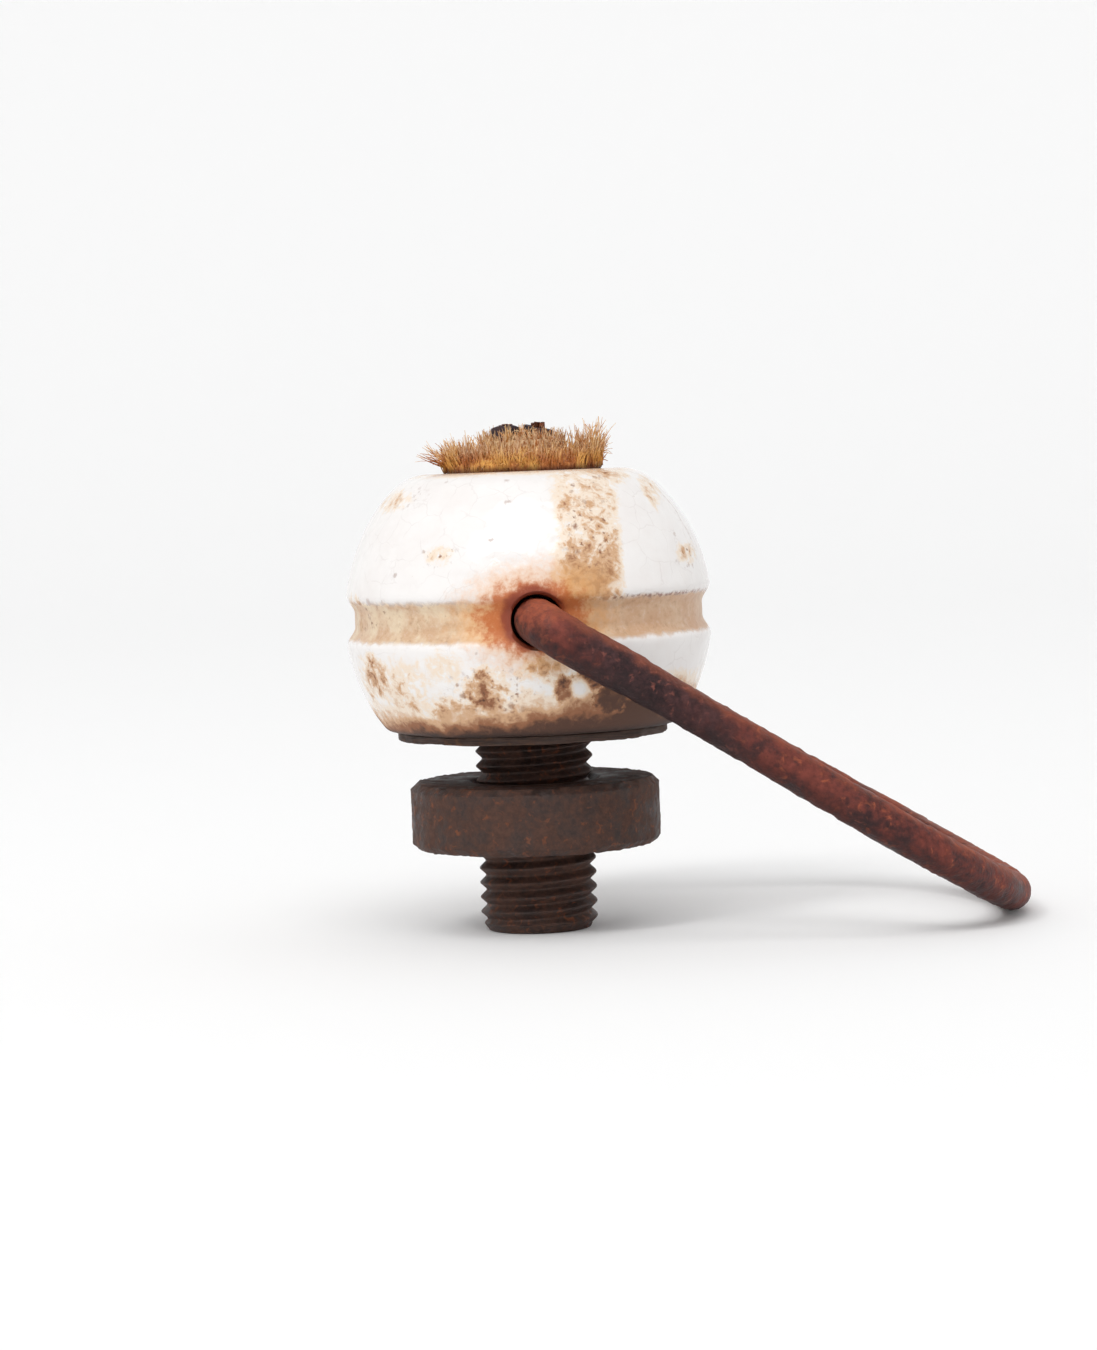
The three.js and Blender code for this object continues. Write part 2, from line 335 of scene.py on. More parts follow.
def sweep(centres, radii, sides, flat_normal=None):
    """Rings of points along a line of centres. flat_normal is a fixed normal of a line in one plane."""
    centres = [Vector(c) for c in centres]
    rings = []
    normal = flat_normal
    for i, centre in enumerate(centres):
        before, after = centres[max(i - 1, 0)], centres[min(i + 1, len(centres) - 1)]
        along = (after - before).normalized()
        if flat_normal is None:
            if normal is None:
                normal = along.orthogonal()
            normal = (normal - along * normal.dot(along)).normalized()
        side = along.cross(normal).normalized()
        ring = []
        for k in range(sides):
            angle = 2 * math.pi * k / sides
            ring.append(centre + (normal * math.cos(angle) + side * math.sin(angle)) * radii[i])
        rings.append(ring)
    return rings


def tube_faces(rows, sides, start=0):
    """The faces over rings of points, closed at both ends by a flat face."""
    last = start + (rows - 1) * sides
    ends = [[start + k for k in reversed(range(sides))], [last + k for k in range(sides)]]
    return grid_faces(rows, sides, False, start) + ends


def tube_mesh(name, rings):
    """A mesh over rings of points, closed at both ends by a flat face."""
    return mesh_from(name, rings, tube_faces(len(rings), len(rings[0])))


class Bundle:
    """Many thin tapered fibres and other meshes gathered into one mesh."""

    def __init__(self, sides=4):
        self.sides = sides
        self.points = []
        self.faces = []

    def add(self, centres, radius, tip=0.35):
        """One fibre along a line of centres, thinner towards its tip."""
        last = len(centres) - 1
        radii = [radius * (1 - (1 - tip) * (i / last) ** 2) for i in range(last + 1)]
        start = len(self.points)
        for ring in sweep(centres, radii, self.sides):
            self.points += [tuple(p) for p in ring]
        self.faces += tube_faces(last + 1, self.sides, start)

    def join(self, mesh):
        """Adds another mesh's points and faces."""
        start = len(self.points)
        self.points += [tuple(v.co) for v in mesh.vertices]
        self.faces += [[start + k for k in polygon.vertices] for polygon in mesh.polygons]
        bpy.data.meshes.remove(mesh)

    def mesh(self, name):
        """The finished mesh."""
        return mesh_from(name, self.points, self.faces, sharp_angle=60)


def cut_away(obj, cutters):
    """Cuts closed meshes out of an object and keeps the result as its mesh."""
    tools = []
    for number, mesh in enumerate(cutters):
        tool = bpy.data.objects.new(f"cutter_{number}", mesh)
        bpy.context.scene.collection.objects.link(tool)
        modifier = obj.modifiers.new("cut", "BOOLEAN")
        modifier.object, modifier.operation, modifier.solver = tool, "DIFFERENCE", "EXACT"
        tools.append(tool)
    bpy.context.view_layer.update()
    result = bpy.data.meshes.new_from_object(obj.evaluated_get(bpy.context.evaluated_depsgraph_get()))
    obj.modifiers.clear()
    obj.data = result
    for tool in tools:
        mesh = tool.data
        bpy.data.objects.remove(tool)
        bpy.data.meshes.remove(mesh)
    return result


# ---- Node tools -----------------------------------------------------------------------------------


class Net:
    """Adds nodes to a node tree. An input is a value or another node's output."""

    def __init__(self, tree):
        self.tree = tree

    def node(self, kind, inputs=None, out=0, **settings):
        """A node's output, with inputs by name or number."""
        node = self.tree.nodes.new(kind)
        for name, value in settings.items():
            setattr(node, name, value)
        for name, value in (inputs or {}).items():
            self.feed(node.inputs[name], value)
        return node.outputs[out]

    def feed(self, socket, value):
        """Sets or links one input."""
        if isinstance(value, bpy.types.NodeSocket):
            self.tree.links.new(value, socket)
        elif socket.type == "RGBA" and len(value) == 3:
            socket.default_value = (*value, 1)
        else:
            socket.default_value = value

    def math(self, operation, a, b=0.0):
        """A math node."""
        return self.node("ShaderNodeMath", {0: a, 1: b}, operation=operation)

    def plus(self, a, b):
        """The sum of two values."""
        return self.math("ADD", a, b)

    def minus(self, a, b):
        """One value less another."""
        return self.math("SUBTRACT", a, b)

    def times(self, a, b):
        """The product of two values."""
        return self.math("MULTIPLY", a, b)

    def larger(self, a, b):
        """The larger of two values."""
        return self.math("MAXIMUM", a, b)

    def size(self, a):
        """A value without its sign."""
        return self.math("ABSOLUTE", a)

    def vector(self, operation, a, b=(0, 0, 0), out=0):
        """A vector math node."""
        return self.node("ShaderNodeVectorMath", {0: a, 1: b}, out, operation=operation)

    def mix(self, factor, a, b, blend="MIX"):
        """A mix of two colours."""
        return self.node(
            "ShaderNodeMix", {0: factor, 6: a, 7: b}, 2, data_type="RGBA", blend_type=blend, clamp_factor=True
        )

    def between(self, value, low, high, start=0.0, end=1.0):
        """A smooth rise from start to end, as value goes from low to high."""
        inputs = {"Value": value, "From Min": low, "From Max": high, "To Min": start, "To Max": end}
        return self.node("ShaderNodeMapRange", inputs, interpolation_type="SMOOTHSTEP")

    def noise(self, vector, scale, detail=3.0, rough=0.55, distortion=0.0):
        """Soft noise from 0 to 1."""
        inputs = {
            "Vector": vector, "Scale": scale, "Detail": detail, "Roughness": rough, "Distortion": distortion
        }
        return self.node("ShaderNodeTexNoise", inputs)

    def waver(self, vector, scale, detail, rough, reach):
        """Soft noise on both sides of zero, over a reach in all."""
        return self.times(self.minus(self.noise(vector, scale, detail, rough), 0.5), reach)

    def cells(self, vector, scale, feature="F1", out="Distance"):
        """Cells of random points."""
        return self.node("ShaderNodeTexVoronoi", {"Vector": vector, "Scale": scale}, out, feature=feature)

    def place(self):
        """The surface point in the object's own frame, in millimetres."""
        coordinates = self.node("ShaderNodeTexCoord", out="Object")
        return self.node("ShaderNodeVectorMath", {0: coordinates, "Scale": 1000.0}, operation="SCALE")

    def split(self, vector):
        """The x, y and z of a vector."""
        node = self.tree.nodes.new("ShaderNodeSeparateXYZ")
        self.feed(node.inputs[0], vector)
        return node.outputs[0], node.outputs[1], node.outputs[2]

    def effect(self, name, **inputs):
        """A shared effect's node, for its named outputs."""
        node = self.tree.nodes.new("ShaderNodeGroup")
        node.node_tree = effect_tree(name)
        for socket, value in inputs.items():
            self.feed(node.inputs[socket], value)
        return node.outputs


def bump(net, height, distance, strength=1.0):
    """A normal from a height from 0 to 1 that stands for a distance in metres."""
    return net.node("ShaderNodeBump", {"Strength": strength, "Distance": distance, "Height": height})


def new_material(name):
    """A material with an empty tree, its net and its shader."""
    material = bpy.data.materials.new(AGED + name)
    material.use_nodes = True
    tree = material.node_tree
    tree.nodes.clear()
    shader = tree.nodes.new("ShaderNodeBsdfPrincipled")
    output = tree.nodes.new("ShaderNodeOutputMaterial")
    tree.links.new(shader.outputs[0], output.inputs["Surface"])
    return material, Net(tree), shader


def finish_shader(net, shader, **inputs):
    """Feeds a shader's inputs, with _ for a space in their names."""
    for name, value in inputs.items():
        net.feed(shader.inputs[name.replace("_", " ")], value)


# ---- Shared effects -------------------------------------------------------------------------------


def blot_effect(net, take):
    """A ragged round stain at a place, 1 in its middle and 0 outside."""
    place = net.place()
    away = net.vector("DIVIDE", net.vector("SUBTRACT", place, take["Centre"]), take["Spread"])
    distance = net.vector("LENGTH", away, out="Value")
    ragged = net.waver(place, 1.1, 5.0, 0.62, 1.0)
    shaped = net.plus(distance, net.times(ragged, take["Ragged"]))
    mask = net.between(shaped, 1.1, 0.3)
    return {"Mask": net.times(mask, take["Strength"])}


def speck_effect(net, take):
    """Small scattered spots with uneven edges, of which only some show."""
    place = net.place()
    warp = net.node("ShaderNodeTexNoise", {"Vector": place, "Scale": 5.0, "Detail": 5.0}, "Color")
    moved = net.vector("ADD", place, net.vector("MULTIPLY", warp, (0.5, 0.5, 0.5)))
    distance = net.cells(moved, take["Density"])
    chosen = net.node("ShaderNodeSeparateColor", {0: net.cells(moved, take["Density"], out="Color")})
    shown = net.between(chosen, net.minus(1.0, take["Amount"]), 1.0)
    size = net.times(take["Size"], shown)
    spot = net.between(net.math("DIVIDE", distance, net.plus(size, 0.001)), 1.0, 0.35)
    return {"Mask": net.times(spot, net.between(shown, 0.02, 0.3))}


def dirt_effect(net, take):
    """Dirt in uneven layers: none, film, tan, brown and dark, as its amount goes from 0 to 1."""
    place = net.place()
    broad = net.noise(place, 0.6, 4.0, 0.6)
    fine = net.noise(place, 1.5, 8.0, 0.68, 0.5)
    uneven = net.plus(net.times(broad, 0.6), fine)
    uneven = net.times(net.minus(uneven, 0.8), take["Contrast"])
    uneven = net.times(uneven, net.between(take["Amount"], 0.0, 0.3))
    level = net.plus(take["Amount"], uneven)
    colour = net.mix(net.between(level, 0.02, 0.24, 0.0, 0.88), take["Base"], take["Film"])
    colour = net.mix(net.between(level, 0.26, 0.5, 0.0, 0.92), colour, take["Tan"])
    colour = net.mix(net.between(level, 0.48, 0.74), colour, take["Brown"])
    colour = net.mix(net.between(level, 0.72, 0.98), colour, take["Dirt"])
    return {"Color": colour, "Level": net.between(level, 0.1, 0.8)}


def craze_effect(net, take):
    """Hairline cracks of an old glaze."""
    place = net.place()
    warp = net.node("ShaderNodeTexNoise", {"Vector": place, "Scale": 0.9, "Detail": 3.0}, "Color")
    moved = net.vector("ADD", place, net.vector("MULTIPLY", warp, (0.9, 0.9, 0.9)))
    edge = net.cells(moved, take["Density"], "DISTANCE_TO_EDGE")
    line = net.between(edge, take["Width"], 0.0)
    faint = net.between(net.noise(place, 0.6, 2.0), 0.35, 0.62)
    return {"Mask": net.times(line, faint)}


def rust_effect(net, take):
    """Layered rust: a dark ground, red blooms, small bright spots and their height."""
    place = net.place()
    broad = net.noise(place, net.times(take["Scale"], 0.45), 5.0, 0.6, 0.4)
    fine = net.noise(place, net.times(take["Scale"], 2.6), 6.0, 0.68)
    grains = net.cells(place, net.times(take["Scale"], 5.5))
    blend = net.plus(net.times(broad, 0.65), net.times(fine, 0.35))
    red = net.between(blend, 0.36, 0.6)
    spots = net.between(net.noise(place, net.times(take["Scale"], 1.5), 4.0, 0.6, 0.6), 0.56, 0.7)
    colour = net.mix(red, take["Dark"], take["Middle"])
    colour = net.mix(net.times(spots, take["Fresh"]), colour, take["Bright"])
    shade = net.between(fine, 0.25, 0.75, 0.72, 1.16)
    grey = net.node("ShaderNodeCombineColor", {0: shade, 1: shade, 2: shade})
    colour = net.mix(1.0, colour, grey, "MULTIPLY")
    height = net.plus(net.times(fine, 0.75), net.times(grains, 0.35))
    return {"Color": colour, "Height": height, "Red": red}


def fibre_effect(net, take):
    """Streaks along upright fibres: pale tips, clumps of golden and of red brown, and a dark root that is
    painted contact shade.
    """
    place = net.place()
    z = net.split(place)[2]
    narrow = net.vector("MULTIPLY", place, (1.0, 1.0, 0.16))
    streak = net.noise(narrow, take["Scale"], 4.0, 0.6)
    clump = net.noise(net.vector("MULTIPLY", place, (1.0, 1.0, 0.6)), 0.75, 3.0, 0.55)
    rise = net.between(z, take["Root"], net.plus(take["Root"], 2.6))
    golden = net.mix(net.between(clump, 0.4, 0.6), take["Middle"], take["Light"])
    tone = net.plus(net.times(streak, 0.9), net.times(clump, 0.3))
    colour = net.mix(net.between(tone, 0.4, 0.72), take["Dark"], golden)
    tip = net.times(net.between(streak, 0.38, 0.62), net.between(rise, 0.25, 0.9))
    colour = net.mix(net.times(tip, 0.75), colour, take["Pale"])
    # Painted contact shade: the fibres darken to deep brown just above their root.
    root = net.between(z, net.plus(take["Root"], 0.75), net.plus(take["Root"], 0.15), 0.0, 0.85)
    return {"Color": net.mix(root, colour, tint("4a2620")), "Height": streak}


# The shared effects: how each is built, its values, its colours and what it puts out.
EFFECTS = {
    "Blot": (
        blot_effect, {"Centre": (0, 0, 0), "Spread": (1, 1, 1), "Ragged": 1.3, "Strength": 1.0}, (), ("Mask",)
    ),
    "Specks": (speck_effect, {"Density": 0.9, "Size": 0.25, "Amount": 0.5}, (), ("Mask",)),
    "Dirt": (
        dirt_effect, {"Amount": 0.5, "Contrast": 1.5}, ("Base", "Film", "Tan", "Brown", "Dirt"),
        ("Color", "Level"),
    ),
    "Crazing": (craze_effect, {"Density": 0.5, "Width": 0.03}, (), ("Mask",)),
    "Rust": (
        rust_effect, {"Scale": 1.0, "Fresh": 1.0}, ("Dark", "Middle", "Bright"), ("Color", "Height", "Red")
    ),
    "Fibre": (
        fibre_effect, {"Scale": 7.0, "Root": 19.5}, ("Dark", "Middle", "Light", "Pale"), ("Color", "Height")
    ),
}


def effect_tree(name):
    """The node group of a shared effect, built the first time that it is asked for."""
    if name in bpy.data.node_groups:
        return bpy.data.node_groups[name]
    build, values, colours, outputs = EFFECTS[name]
    tree = bpy.data.node_groups.new(name, "ShaderNodeTree")
    for socket, value in values.items():
        kind = "NodeSocketVector" if isinstance(value, tuple) else "NodeSocketFloat"
        tree.interface.new_socket(socket, in_out="INPUT", socket_type=kind).default_value = value
    for socket in colours:
        tree.interface.new_socket(socket, in_out="INPUT", socket_type="NodeSocketColor")
    for socket in outputs:
        kind = "NodeSocketColor" if socket == "Color" else "NodeSocketFloat"
        tree.interface.new_socket(socket, in_out="OUTPUT", socket_type=kind)
    entry, leave = tree.nodes.new("NodeGroupInput"), tree.nodes.new("NodeGroupOutput")
    results = build(Net(tree), entry.outputs)
    for socket in outputs:
        tree.links.new(results[socket], leave.inputs[socket])
    return tree


# ---- Materials ------------------------------------------------------------------------------------


STAIN_RADIUS = 12.4


def on_ball(x, z, side=-1):
    """The point of the ball's surface at x and a height z above the groove, in millimetres."""
    y = side * math.sqrt(max(0.0, STAIN_RADIUS**2 - x * x - z * z))
    return (x, y, z + PIVOT.z / MM)


# Stains on the glaze, in millimetres: x, height above the groove, side of the ball along y, spread along
# x, y and z, and strength. Most are dirt; three paint the wire's shadow below its front leg.
DIRT_AND_SHADOW_STAINS = [
    (-3.4, -4.9, -1, (2.3, 2.6, 2.6), 0.56),
    (-5.2, -6.1, -1, (3.0, 3.4, 1.4), 0.5),
    (0.6, -3.2, -1, (2.2, 2.4, 1.2), 0.42),
    (1.6, -4.6, -1, (1.1, 2.0, 1.6), 0.74),
    # Painted shadow of the wire's front leg on the ball, laid over some rust grime from the wire.
    (3.6, -3.8, -1, (2.2, 2.4, 1.6), 0.86),
    (4.8, -5.3, -1, (2.3, 3.0, 1.9), 0.98),
    (6.6, -6.6, -1, (3.0, 4.2, 1.9), 1.1),
    (-10.6, -3.6, -1, (1.4, 4.4, 2.0), 0.52),
    (-8.6, -4.6, -1, (3.0, 4.4, 3.0), 0.27),
    (-6.0, -2.9, -1, (2.2, 3.0, 1.4), 0.2),
    (-6.2, 4.4, -1, (1.1, 2.4, 0.8), 0.27),
    (10.4, 3.9, -1, (1.2, 3.4, 0.9), 0.3),
    (-12.0, 0.3, -1, (1.2, 3.2, 1.7), 0.5),
    (-9.0, 8.0, -1, (2.2, 4.0, 1.0), 0.3),
    (8.2, 8.3, -1, (1.0, 3.0, 2.4), 0.3),
    (5.6, 9.1, -1, (1.8, 3.0, 0.7), 0.36),
    (-3.4, 3.2, 1, (2.4, 2.8, 3.6), 0.5),
    (5.6, -5.6, 1, (3.6, 3.6, 2.2), 0.5),
    (2.2, -3.4, 1, (1.6, 2.4, 1.4), 0.55),
    (-7.4, -4.6, 1, (2.4, 3.6, 2.0), 0.6),
    (11.4, 3.4, 1, (2.4, 3.8, 2.6), 0.4),
]
SPECK_STAINS = [
    (3.7, 5.6, -1, (2.2, 3.0, 4.0), 1.0),
    (3.9, 8.4, -1, (2.0, 3.0, 1.6), 0.9),
    (-6.2, 4.4, -1, (1.2, 2.4, 1.0), 1.0),
    (10.4, 3.9, -1, (1.6, 3.4, 1.2), 1.0),
    (-10.8, 0.3, -1, (2.0, 4.6, 1.6), 0.9),
    (-7.8, 8.2, -1, (2.6, 4.0, 1.0), 0.4),
    (-3.0, -4.6, -1, (3.8, 3.6, 2.2), 0.9),
    (-2.6, 6.0, 1, (3.6, 4.0, 3.6), 0.9),
    (7.6, 2.6, 1, (2.2, 3.6, 2.4), 0.9),
]
PATCH_LEFT, PATCH_RIGHT = 1.2, 5.75
BALL_TOP, BALL_FOOT = (TOP_FLAT - PIVOT.z) / MM, (BALL_BOX[0].z - PIVOT.z) / MM


def all_blots(net, stains):
    """The strongest of a list of stains, everywhere on the ball."""
    mask = 0.0
    for x, z, side, spread, strength in stains:
        spot = net.effect("Blot", Centre=on_ball(x, z, side), Spread=spread, Strength=strength)["Mask"]
        mask = net.larger(mask, spot)
    return mask


def dirty_patch(net, place, x, y, height):
    """How much dirt lies in the upright patch on the front, between the hole and the mouth."""
    ragged = net.waver(place, 1.2, 5.0, 0.65, 1.6)
    soft = net.between(net.plus(x, ragged), PATCH_LEFT - 0.8, PATCH_LEFT + 1.6)
    crisp = net.plus(x, net.times(ragged, 0.8))
    soft = net.times(soft, net.between(crisp, PATCH_RIGHT + 0.35, PATCH_RIGHT - 0.5))
    soft = net.times(soft, net.between(y, -3.0, -5.5))
    soft = net.times(soft, net.between(height, 0.8, 1.6))
    return net.times(soft, net.between(height, 7.5, 2.8, 0.33, 0.5))


def groove_colour(net, place, x, height, colour):
    """The groove's tan stain over the glaze, with a broken darker line along its upper edge."""
    fine = net.noise(place, 2.6, 7.0, 0.7)
    uneven = net.waver(place, 1.3, 5.0, 0.62, 0.8)
    level = net.plus(net.size(net.plus(height, 0.05)), uneven)
    groove = net.between(level, 1.5, 1.1)
    tan = net.mix(net.between(net.noise(place, 0.6, 5.0, 0.6), 0.35, 0.65), tint("e2ccad"), tint("cfa985"))
    tan = net.mix(net.between(x, -1.0, 8.0, 0.0, 0.6), tan, tint("c69873"))
    tan = net.mix(net.between(fine, 0.5, 0.72, 0.0, 0.55), tan, tint("a87a58"))
    colour = net.mix(net.times(groove, net.between(fine, 0.22, 0.5, 0.7, 0.98)), colour, tan)
    lip = net.plus(net.minus(height, 1.3), net.times(uneven, 0.8))
    line = net.times(net.between(net.size(lip), 0.26, 0.0), net.between(fine, 0.42, 0.56))
    line = net.times(line, net.between(x, -3.0, 4.0, 0.3, 0.85))
    return net.mix(line, colour, tint("8a5a44")), groove


def halo_colour(net, place, x, y, height, colour, rust):
    """Rust that bled out of the two side holes: dark red, then orange, then tan along the groove."""
    near_hole = net.between(net.size(y), 4.0, 8.0)
    flat = net.node("ShaderNodeCombineXYZ", {0: net.plus(x, 0.25), 2: net.minus(height, 0.2)})
    round_reach = net.vector("LENGTH", flat, out="Value")
    long_reach = net.vector("LENGTH", net.vector("MULTIPLY", flat, (0.66, 1.0, 0.95)), out="Value")
    ragged = net.waver(place, 1.4, 6.0, 0.68, 3.2)
    far = net.plus(long_reach, ragged)
    near = net.plus(round_reach, net.times(ragged, 0.28))
    # Each layer: its distance from the hole, where it starts, where it is full, its strength, its colour.
    layers = (
        (far, 4.2, 2.1, 0.62, tint("e2a35e")),
        (far, 2.75, 1.7, 0.88, rust),
        (near, 2.4, 1.85, 0.85, tint("8a3214")),
        (near, 2.0, 1.65, 0.9, tint("8c3c22")),
    )
    for reach, start, full, strength, layer in layers:
        mask = net.times(net.between(reach, start, full, 0.0, strength), near_hole)
        colour = net.mix(mask, colour, layer)
    return colour, net.times(net.between(far, 4.2, 2.4), near_hole)


def clean_glaze(net, place, x, y, height, glaze):
    """Unstained glaze with greyish clouds, fine crazing and one long crack on the right shoulder."""
    cloud = net.noise(place, 0.45, 4.0, 0.6)
    colour = net.mix(net.between(cloud, 0.3, 0.75, 0.0, 0.35), glaze, tint("e4dcd8"))
    cracks = net.effect("Crazing", Density=0.55, Width=0.03)["Mask"]
    colour = net.mix(net.times(cracks, 0.1), colour, tint("7a5037"))
    beside = net.plus(net.plus(y, 3.4), net.waver(place, 0.5, 5.0, 0.62, 3.0))
    crack = net.between(net.size(beside), 0.3, 0.0)
    crack = net.times(net.times(crack, net.between(x, 4.4, 5.4)), net.between(height, 3.6, 6.0))
    shown = net.between(net.noise(place, 2.6, 6.0, 0.68), 0.35, 0.6, 0.05, 0.4)
    return net.mix(net.times(crack, shown), colour, tint("94705f")), cloud


def foot_grime(net, x, height, ripple):
    """How much dirt lies on the foot: it reaches higher on the right, and is thick at the bottom."""
    level = net.plus(net.plus(height, ripple), net.between(x, -7.0, 4.0, 0.9, -0.5))
    foot = net.between(level, BALL_FOOT + 4.1, BALL_FOOT + 0.1, 0.0, 0.84)
    return net.plus(foot, net.between(height, BALL_FOOT + 2.0, BALL_FOOT + 0.3, 0.0, 0.16))


def brown_specks(net):
    """Brown specks: two sizes in chosen places and a few faint ones everywhere."""
    small = net.effect("Specks", Density=2.6, Size=0.55, Amount=0.6)["Mask"]
    large = net.effect("Specks", Density=1.3, Size=0.5, Amount=0.5)["Mask"]
    stray = net.effect("Specks", Density=0.8, Size=0.22, Amount=0.3)["Mask"]
    chosen = net.times(net.larger(small, large), all_blots(net, SPECK_STAINS))
    return net.larger(chosen, net.times(stray, 0.5))


def porcelain_material(ball):
    """White glaze, crazed and stained: tan groove, rust halos, dirty patches and a grimy foot, with painted
    shadow below the wire and painted contact shade along the foot's edge.
    """
    material, net, shader = new_material("glazed_porcelain")
    place = net.place()
    x, y, z = net.split(place)
    height = net.minus(z, PIVOT.z / MM)
    ripple = net.waver(place, 0.42, 4.0, 0.6, 3.6)
    colour, cloud = clean_glaze(net, place, x, y, height, ball.glaze)

    # Dirt: blots, the upright patch and the foot, with one clean spot low on the front. Three blots below the
    # wire paint its shadow over some rust grime, and the rim of the top is tinted a little darker.
    foot = foot_grime(net, x, height, ripple)
    rim = net.between(height, BALL_TOP - 0.5, BALL_TOP + 0.1, 0.0, 0.3)
    amount = net.larger(all_blots(net, DIRT_AND_SHADOW_STAINS), dirty_patch(net, place, x, y, height))
    amount = net.larger(net.larger(amount, foot), rim)
    clean = net.effect("Blot", Centre=on_ball(2.7, -4.5), Spread=(0.8, 2.0, 0.9), Ragged=0.5, Strength=0.9)
    amount = net.times(amount, net.minus(1.0, clean["Mask"]))
    dirt = net.effect(
        "Dirt", Amount=amount, Contrast=net.between(foot, 0.1, 0.4, 1.5, 0.55), Base=colour,
        Film=ball.film, Tan=ball.tan, Brown=ball.brown, Dirt=ball.dark,
    )
    wash = net.effect("Blot", Centre=on_ball(3.2, 2.6), Spread=(2.8, 3.0, 1.6), Ragged=0.6, Strength=0.68)
    colour = net.mix(wash["Mask"], dirt["Color"], tint("cd9d6c"))
    colour, groove = groove_colour(net, place, x, height, colour)
    colour, halo = halo_colour(net, place, x, y, height, colour, ball.halo)
    specks = brown_specks(net)
    colour = net.mix(net.times(specks, 0.85), colour, tint("86502f"))
    # Painted contact shade: the glaze darkens to near black over about the last 0.6 mm above the foot, where
    # the ball sits on its washer.
    above_foot = net.plus(height, net.times(ripple, 0.12))
    edge = net.between(above_foot, BALL_FOOT + 0.6, BALL_FOOT, 0.0, 0.85)
    colour = net.mix(edge, colour, tint("251610"))

    # What lies on the glaze is rough, and the clean glaze shines.
    rough = net.larger(dirt["Level"], net.times(halo, 0.8))
    rough = net.larger(rough, net.larger(specks, net.times(groove, 0.5)))
    fine = net.noise(place, 2.6, 6.0, 0.68)
    relief = net.plus(net.times(cloud, 0.35), net.times(rough, fine))
    relief = net.minus(relief, net.times(specks, 0.25))
    finish_shader(
        net, shader, Base_Color=colour, Roughness=net.between(rough, 0.0, 1.0, 0.1, 0.65),
        IOR=1.52, Normal=bump(net, relief, 0.05 * MM, 0.8),
    )
    return material


def rusty_wire_material(bail):
    """Rust over drawn wire: bright at the hole, dark beside the ball and redder towards the crown, with
    painted shade underneath and a painted highlight on top.
    """
    material, net, shader = new_material("rusty_wire")
    place = net.place()
    x, _, z = net.split(place)
    along = net.plus(x, net.waver(place, 0.4, 3.0, 0.55, 8.0))
    rust = net.effect("Rust", Dark=bail.dark, Middle=bail.middle, Bright=bail.bright, Scale=0.9, Fresh=0.7)
    old = net.effect("Rust", Dark=tint("28171a"), Middle=tint("4a2c2c"), Bright=tint("7a463c"), Scale=1.2)
    dense = net.times(net.between(along, 1.5, 4.0), net.between(along, 15.0, 9.0))
    colour = net.mix(dense, rust["Color"], old["Color"])
    # Painted shade darkens the resting wire's underside, and a painted highlight lightens its upper side
    # towards red.
    slope = math.tan(bail_droop(bail)[1])
    above = net.plus(net.minus(z, PIVOT.z / MM), net.times(x, slope))
    above = net.plus(above, net.waver(place, 0.9, 5.0, 0.6, 1.6))
    colour = net.mix(net.between(above, 0.2, -1.4, 0.0, 0.62), colour, tint("221011"))
    colour = net.mix(net.between(above, 0.7, 1.6, 0.0, 0.4), colour, bail.bright)
    fresh = net.effect("Blot", Centre=on_ball(0.2, 0.6), Spread=(2.3, 4.5, 1.9), Strength=0.72)["Mask"]
    speckled = net.between(net.noise(place, 1.8, 6.0, 0.7), 0.35, 0.6, 0.35, 1.0)
    colour = net.mix(net.times(fresh, speckled), colour, tint("b0593a"))
    finish_shader(
        net, shader, Base_Color=colour, Metallic=0.15, Specular_IOR_Level=0.3,
        Roughness=net.between(rust["Red"], 0.0, 1.0, 0.42, 0.66),
        Normal=bump(net, rust["Height"], 0.07 * MM, 0.85),
    )
    return material


def iron_material(iron):
    """Blackened iron under uneven rust."""
    material, net, shader = new_material("oxidised_iron")
    rust = net.effect("Rust", Dark=iron.iron, Middle=tint("553a2f"), Bright=iron.rust, Scale=1.1, Fresh=0.8)
    finish_shader(
        net, shader, Base_Color=rust["Color"], Metallic=0.35,
        Roughness=net.between(rust["Red"], 0.0, 1.0, 0.45, 0.75),
        Normal=bump(net, rust["Height"], 0.06 * MM, 0.8),
    )
    return material


def fibre_board_material(iron):
    """Dark vulcanised fibre with thin layers at its edge and dirt in its skin."""
    material, net, shader = new_material("vulcanised_fibre")
    place = net.place()
    layers = net.noise(net.vector("MULTIPLY", place, (0.4, 0.4, 9.0)), 1.4, 4.0, 0.6)
    stain = net.noise(place, 0.9, 5.0, 0.65)
    colour = net.mix(net.between(layers, 0.35, 0.7), iron.fibre, tint("2a1c16"))
    colour = net.mix(net.between(stain, 0.55, 0.75, 0.0, 0.6), colour, tint("7d5638"))
    finish_shader(
        net, shader, Base_Color=colour, Roughness=net.between(stain, 0.3, 0.7, 0.6, 0.85),
        Normal=bump(net, layers, 0.05 * MM, 0.7),
    )
    return material


def fibre_material(name, cable, light, scale):
    """Plant fibre: golden streaks, pale at the tips and darkened at the root by painted contact shade."""
    material, net, shader = new_material(name)
    fibre = net.effect(
        "Fibre", Light=light, Middle=cable.hemp_red, Dark=cable.hemp_dark, Pale=cable.hemp_pale,
        Scale=scale, Root=TOP_FLAT / MM - 0.2,
    )
    finish_shader(
        net, shader, Base_Color=fibre["Color"], Roughness=0.85, Specular_IOR_Level=0.25,
        Sheen_Weight=0.35, Sheen_Roughness=0.4, Normal=bump(net, fibre["Height"], 0.04 * MM, 0.7),
    )
    return material


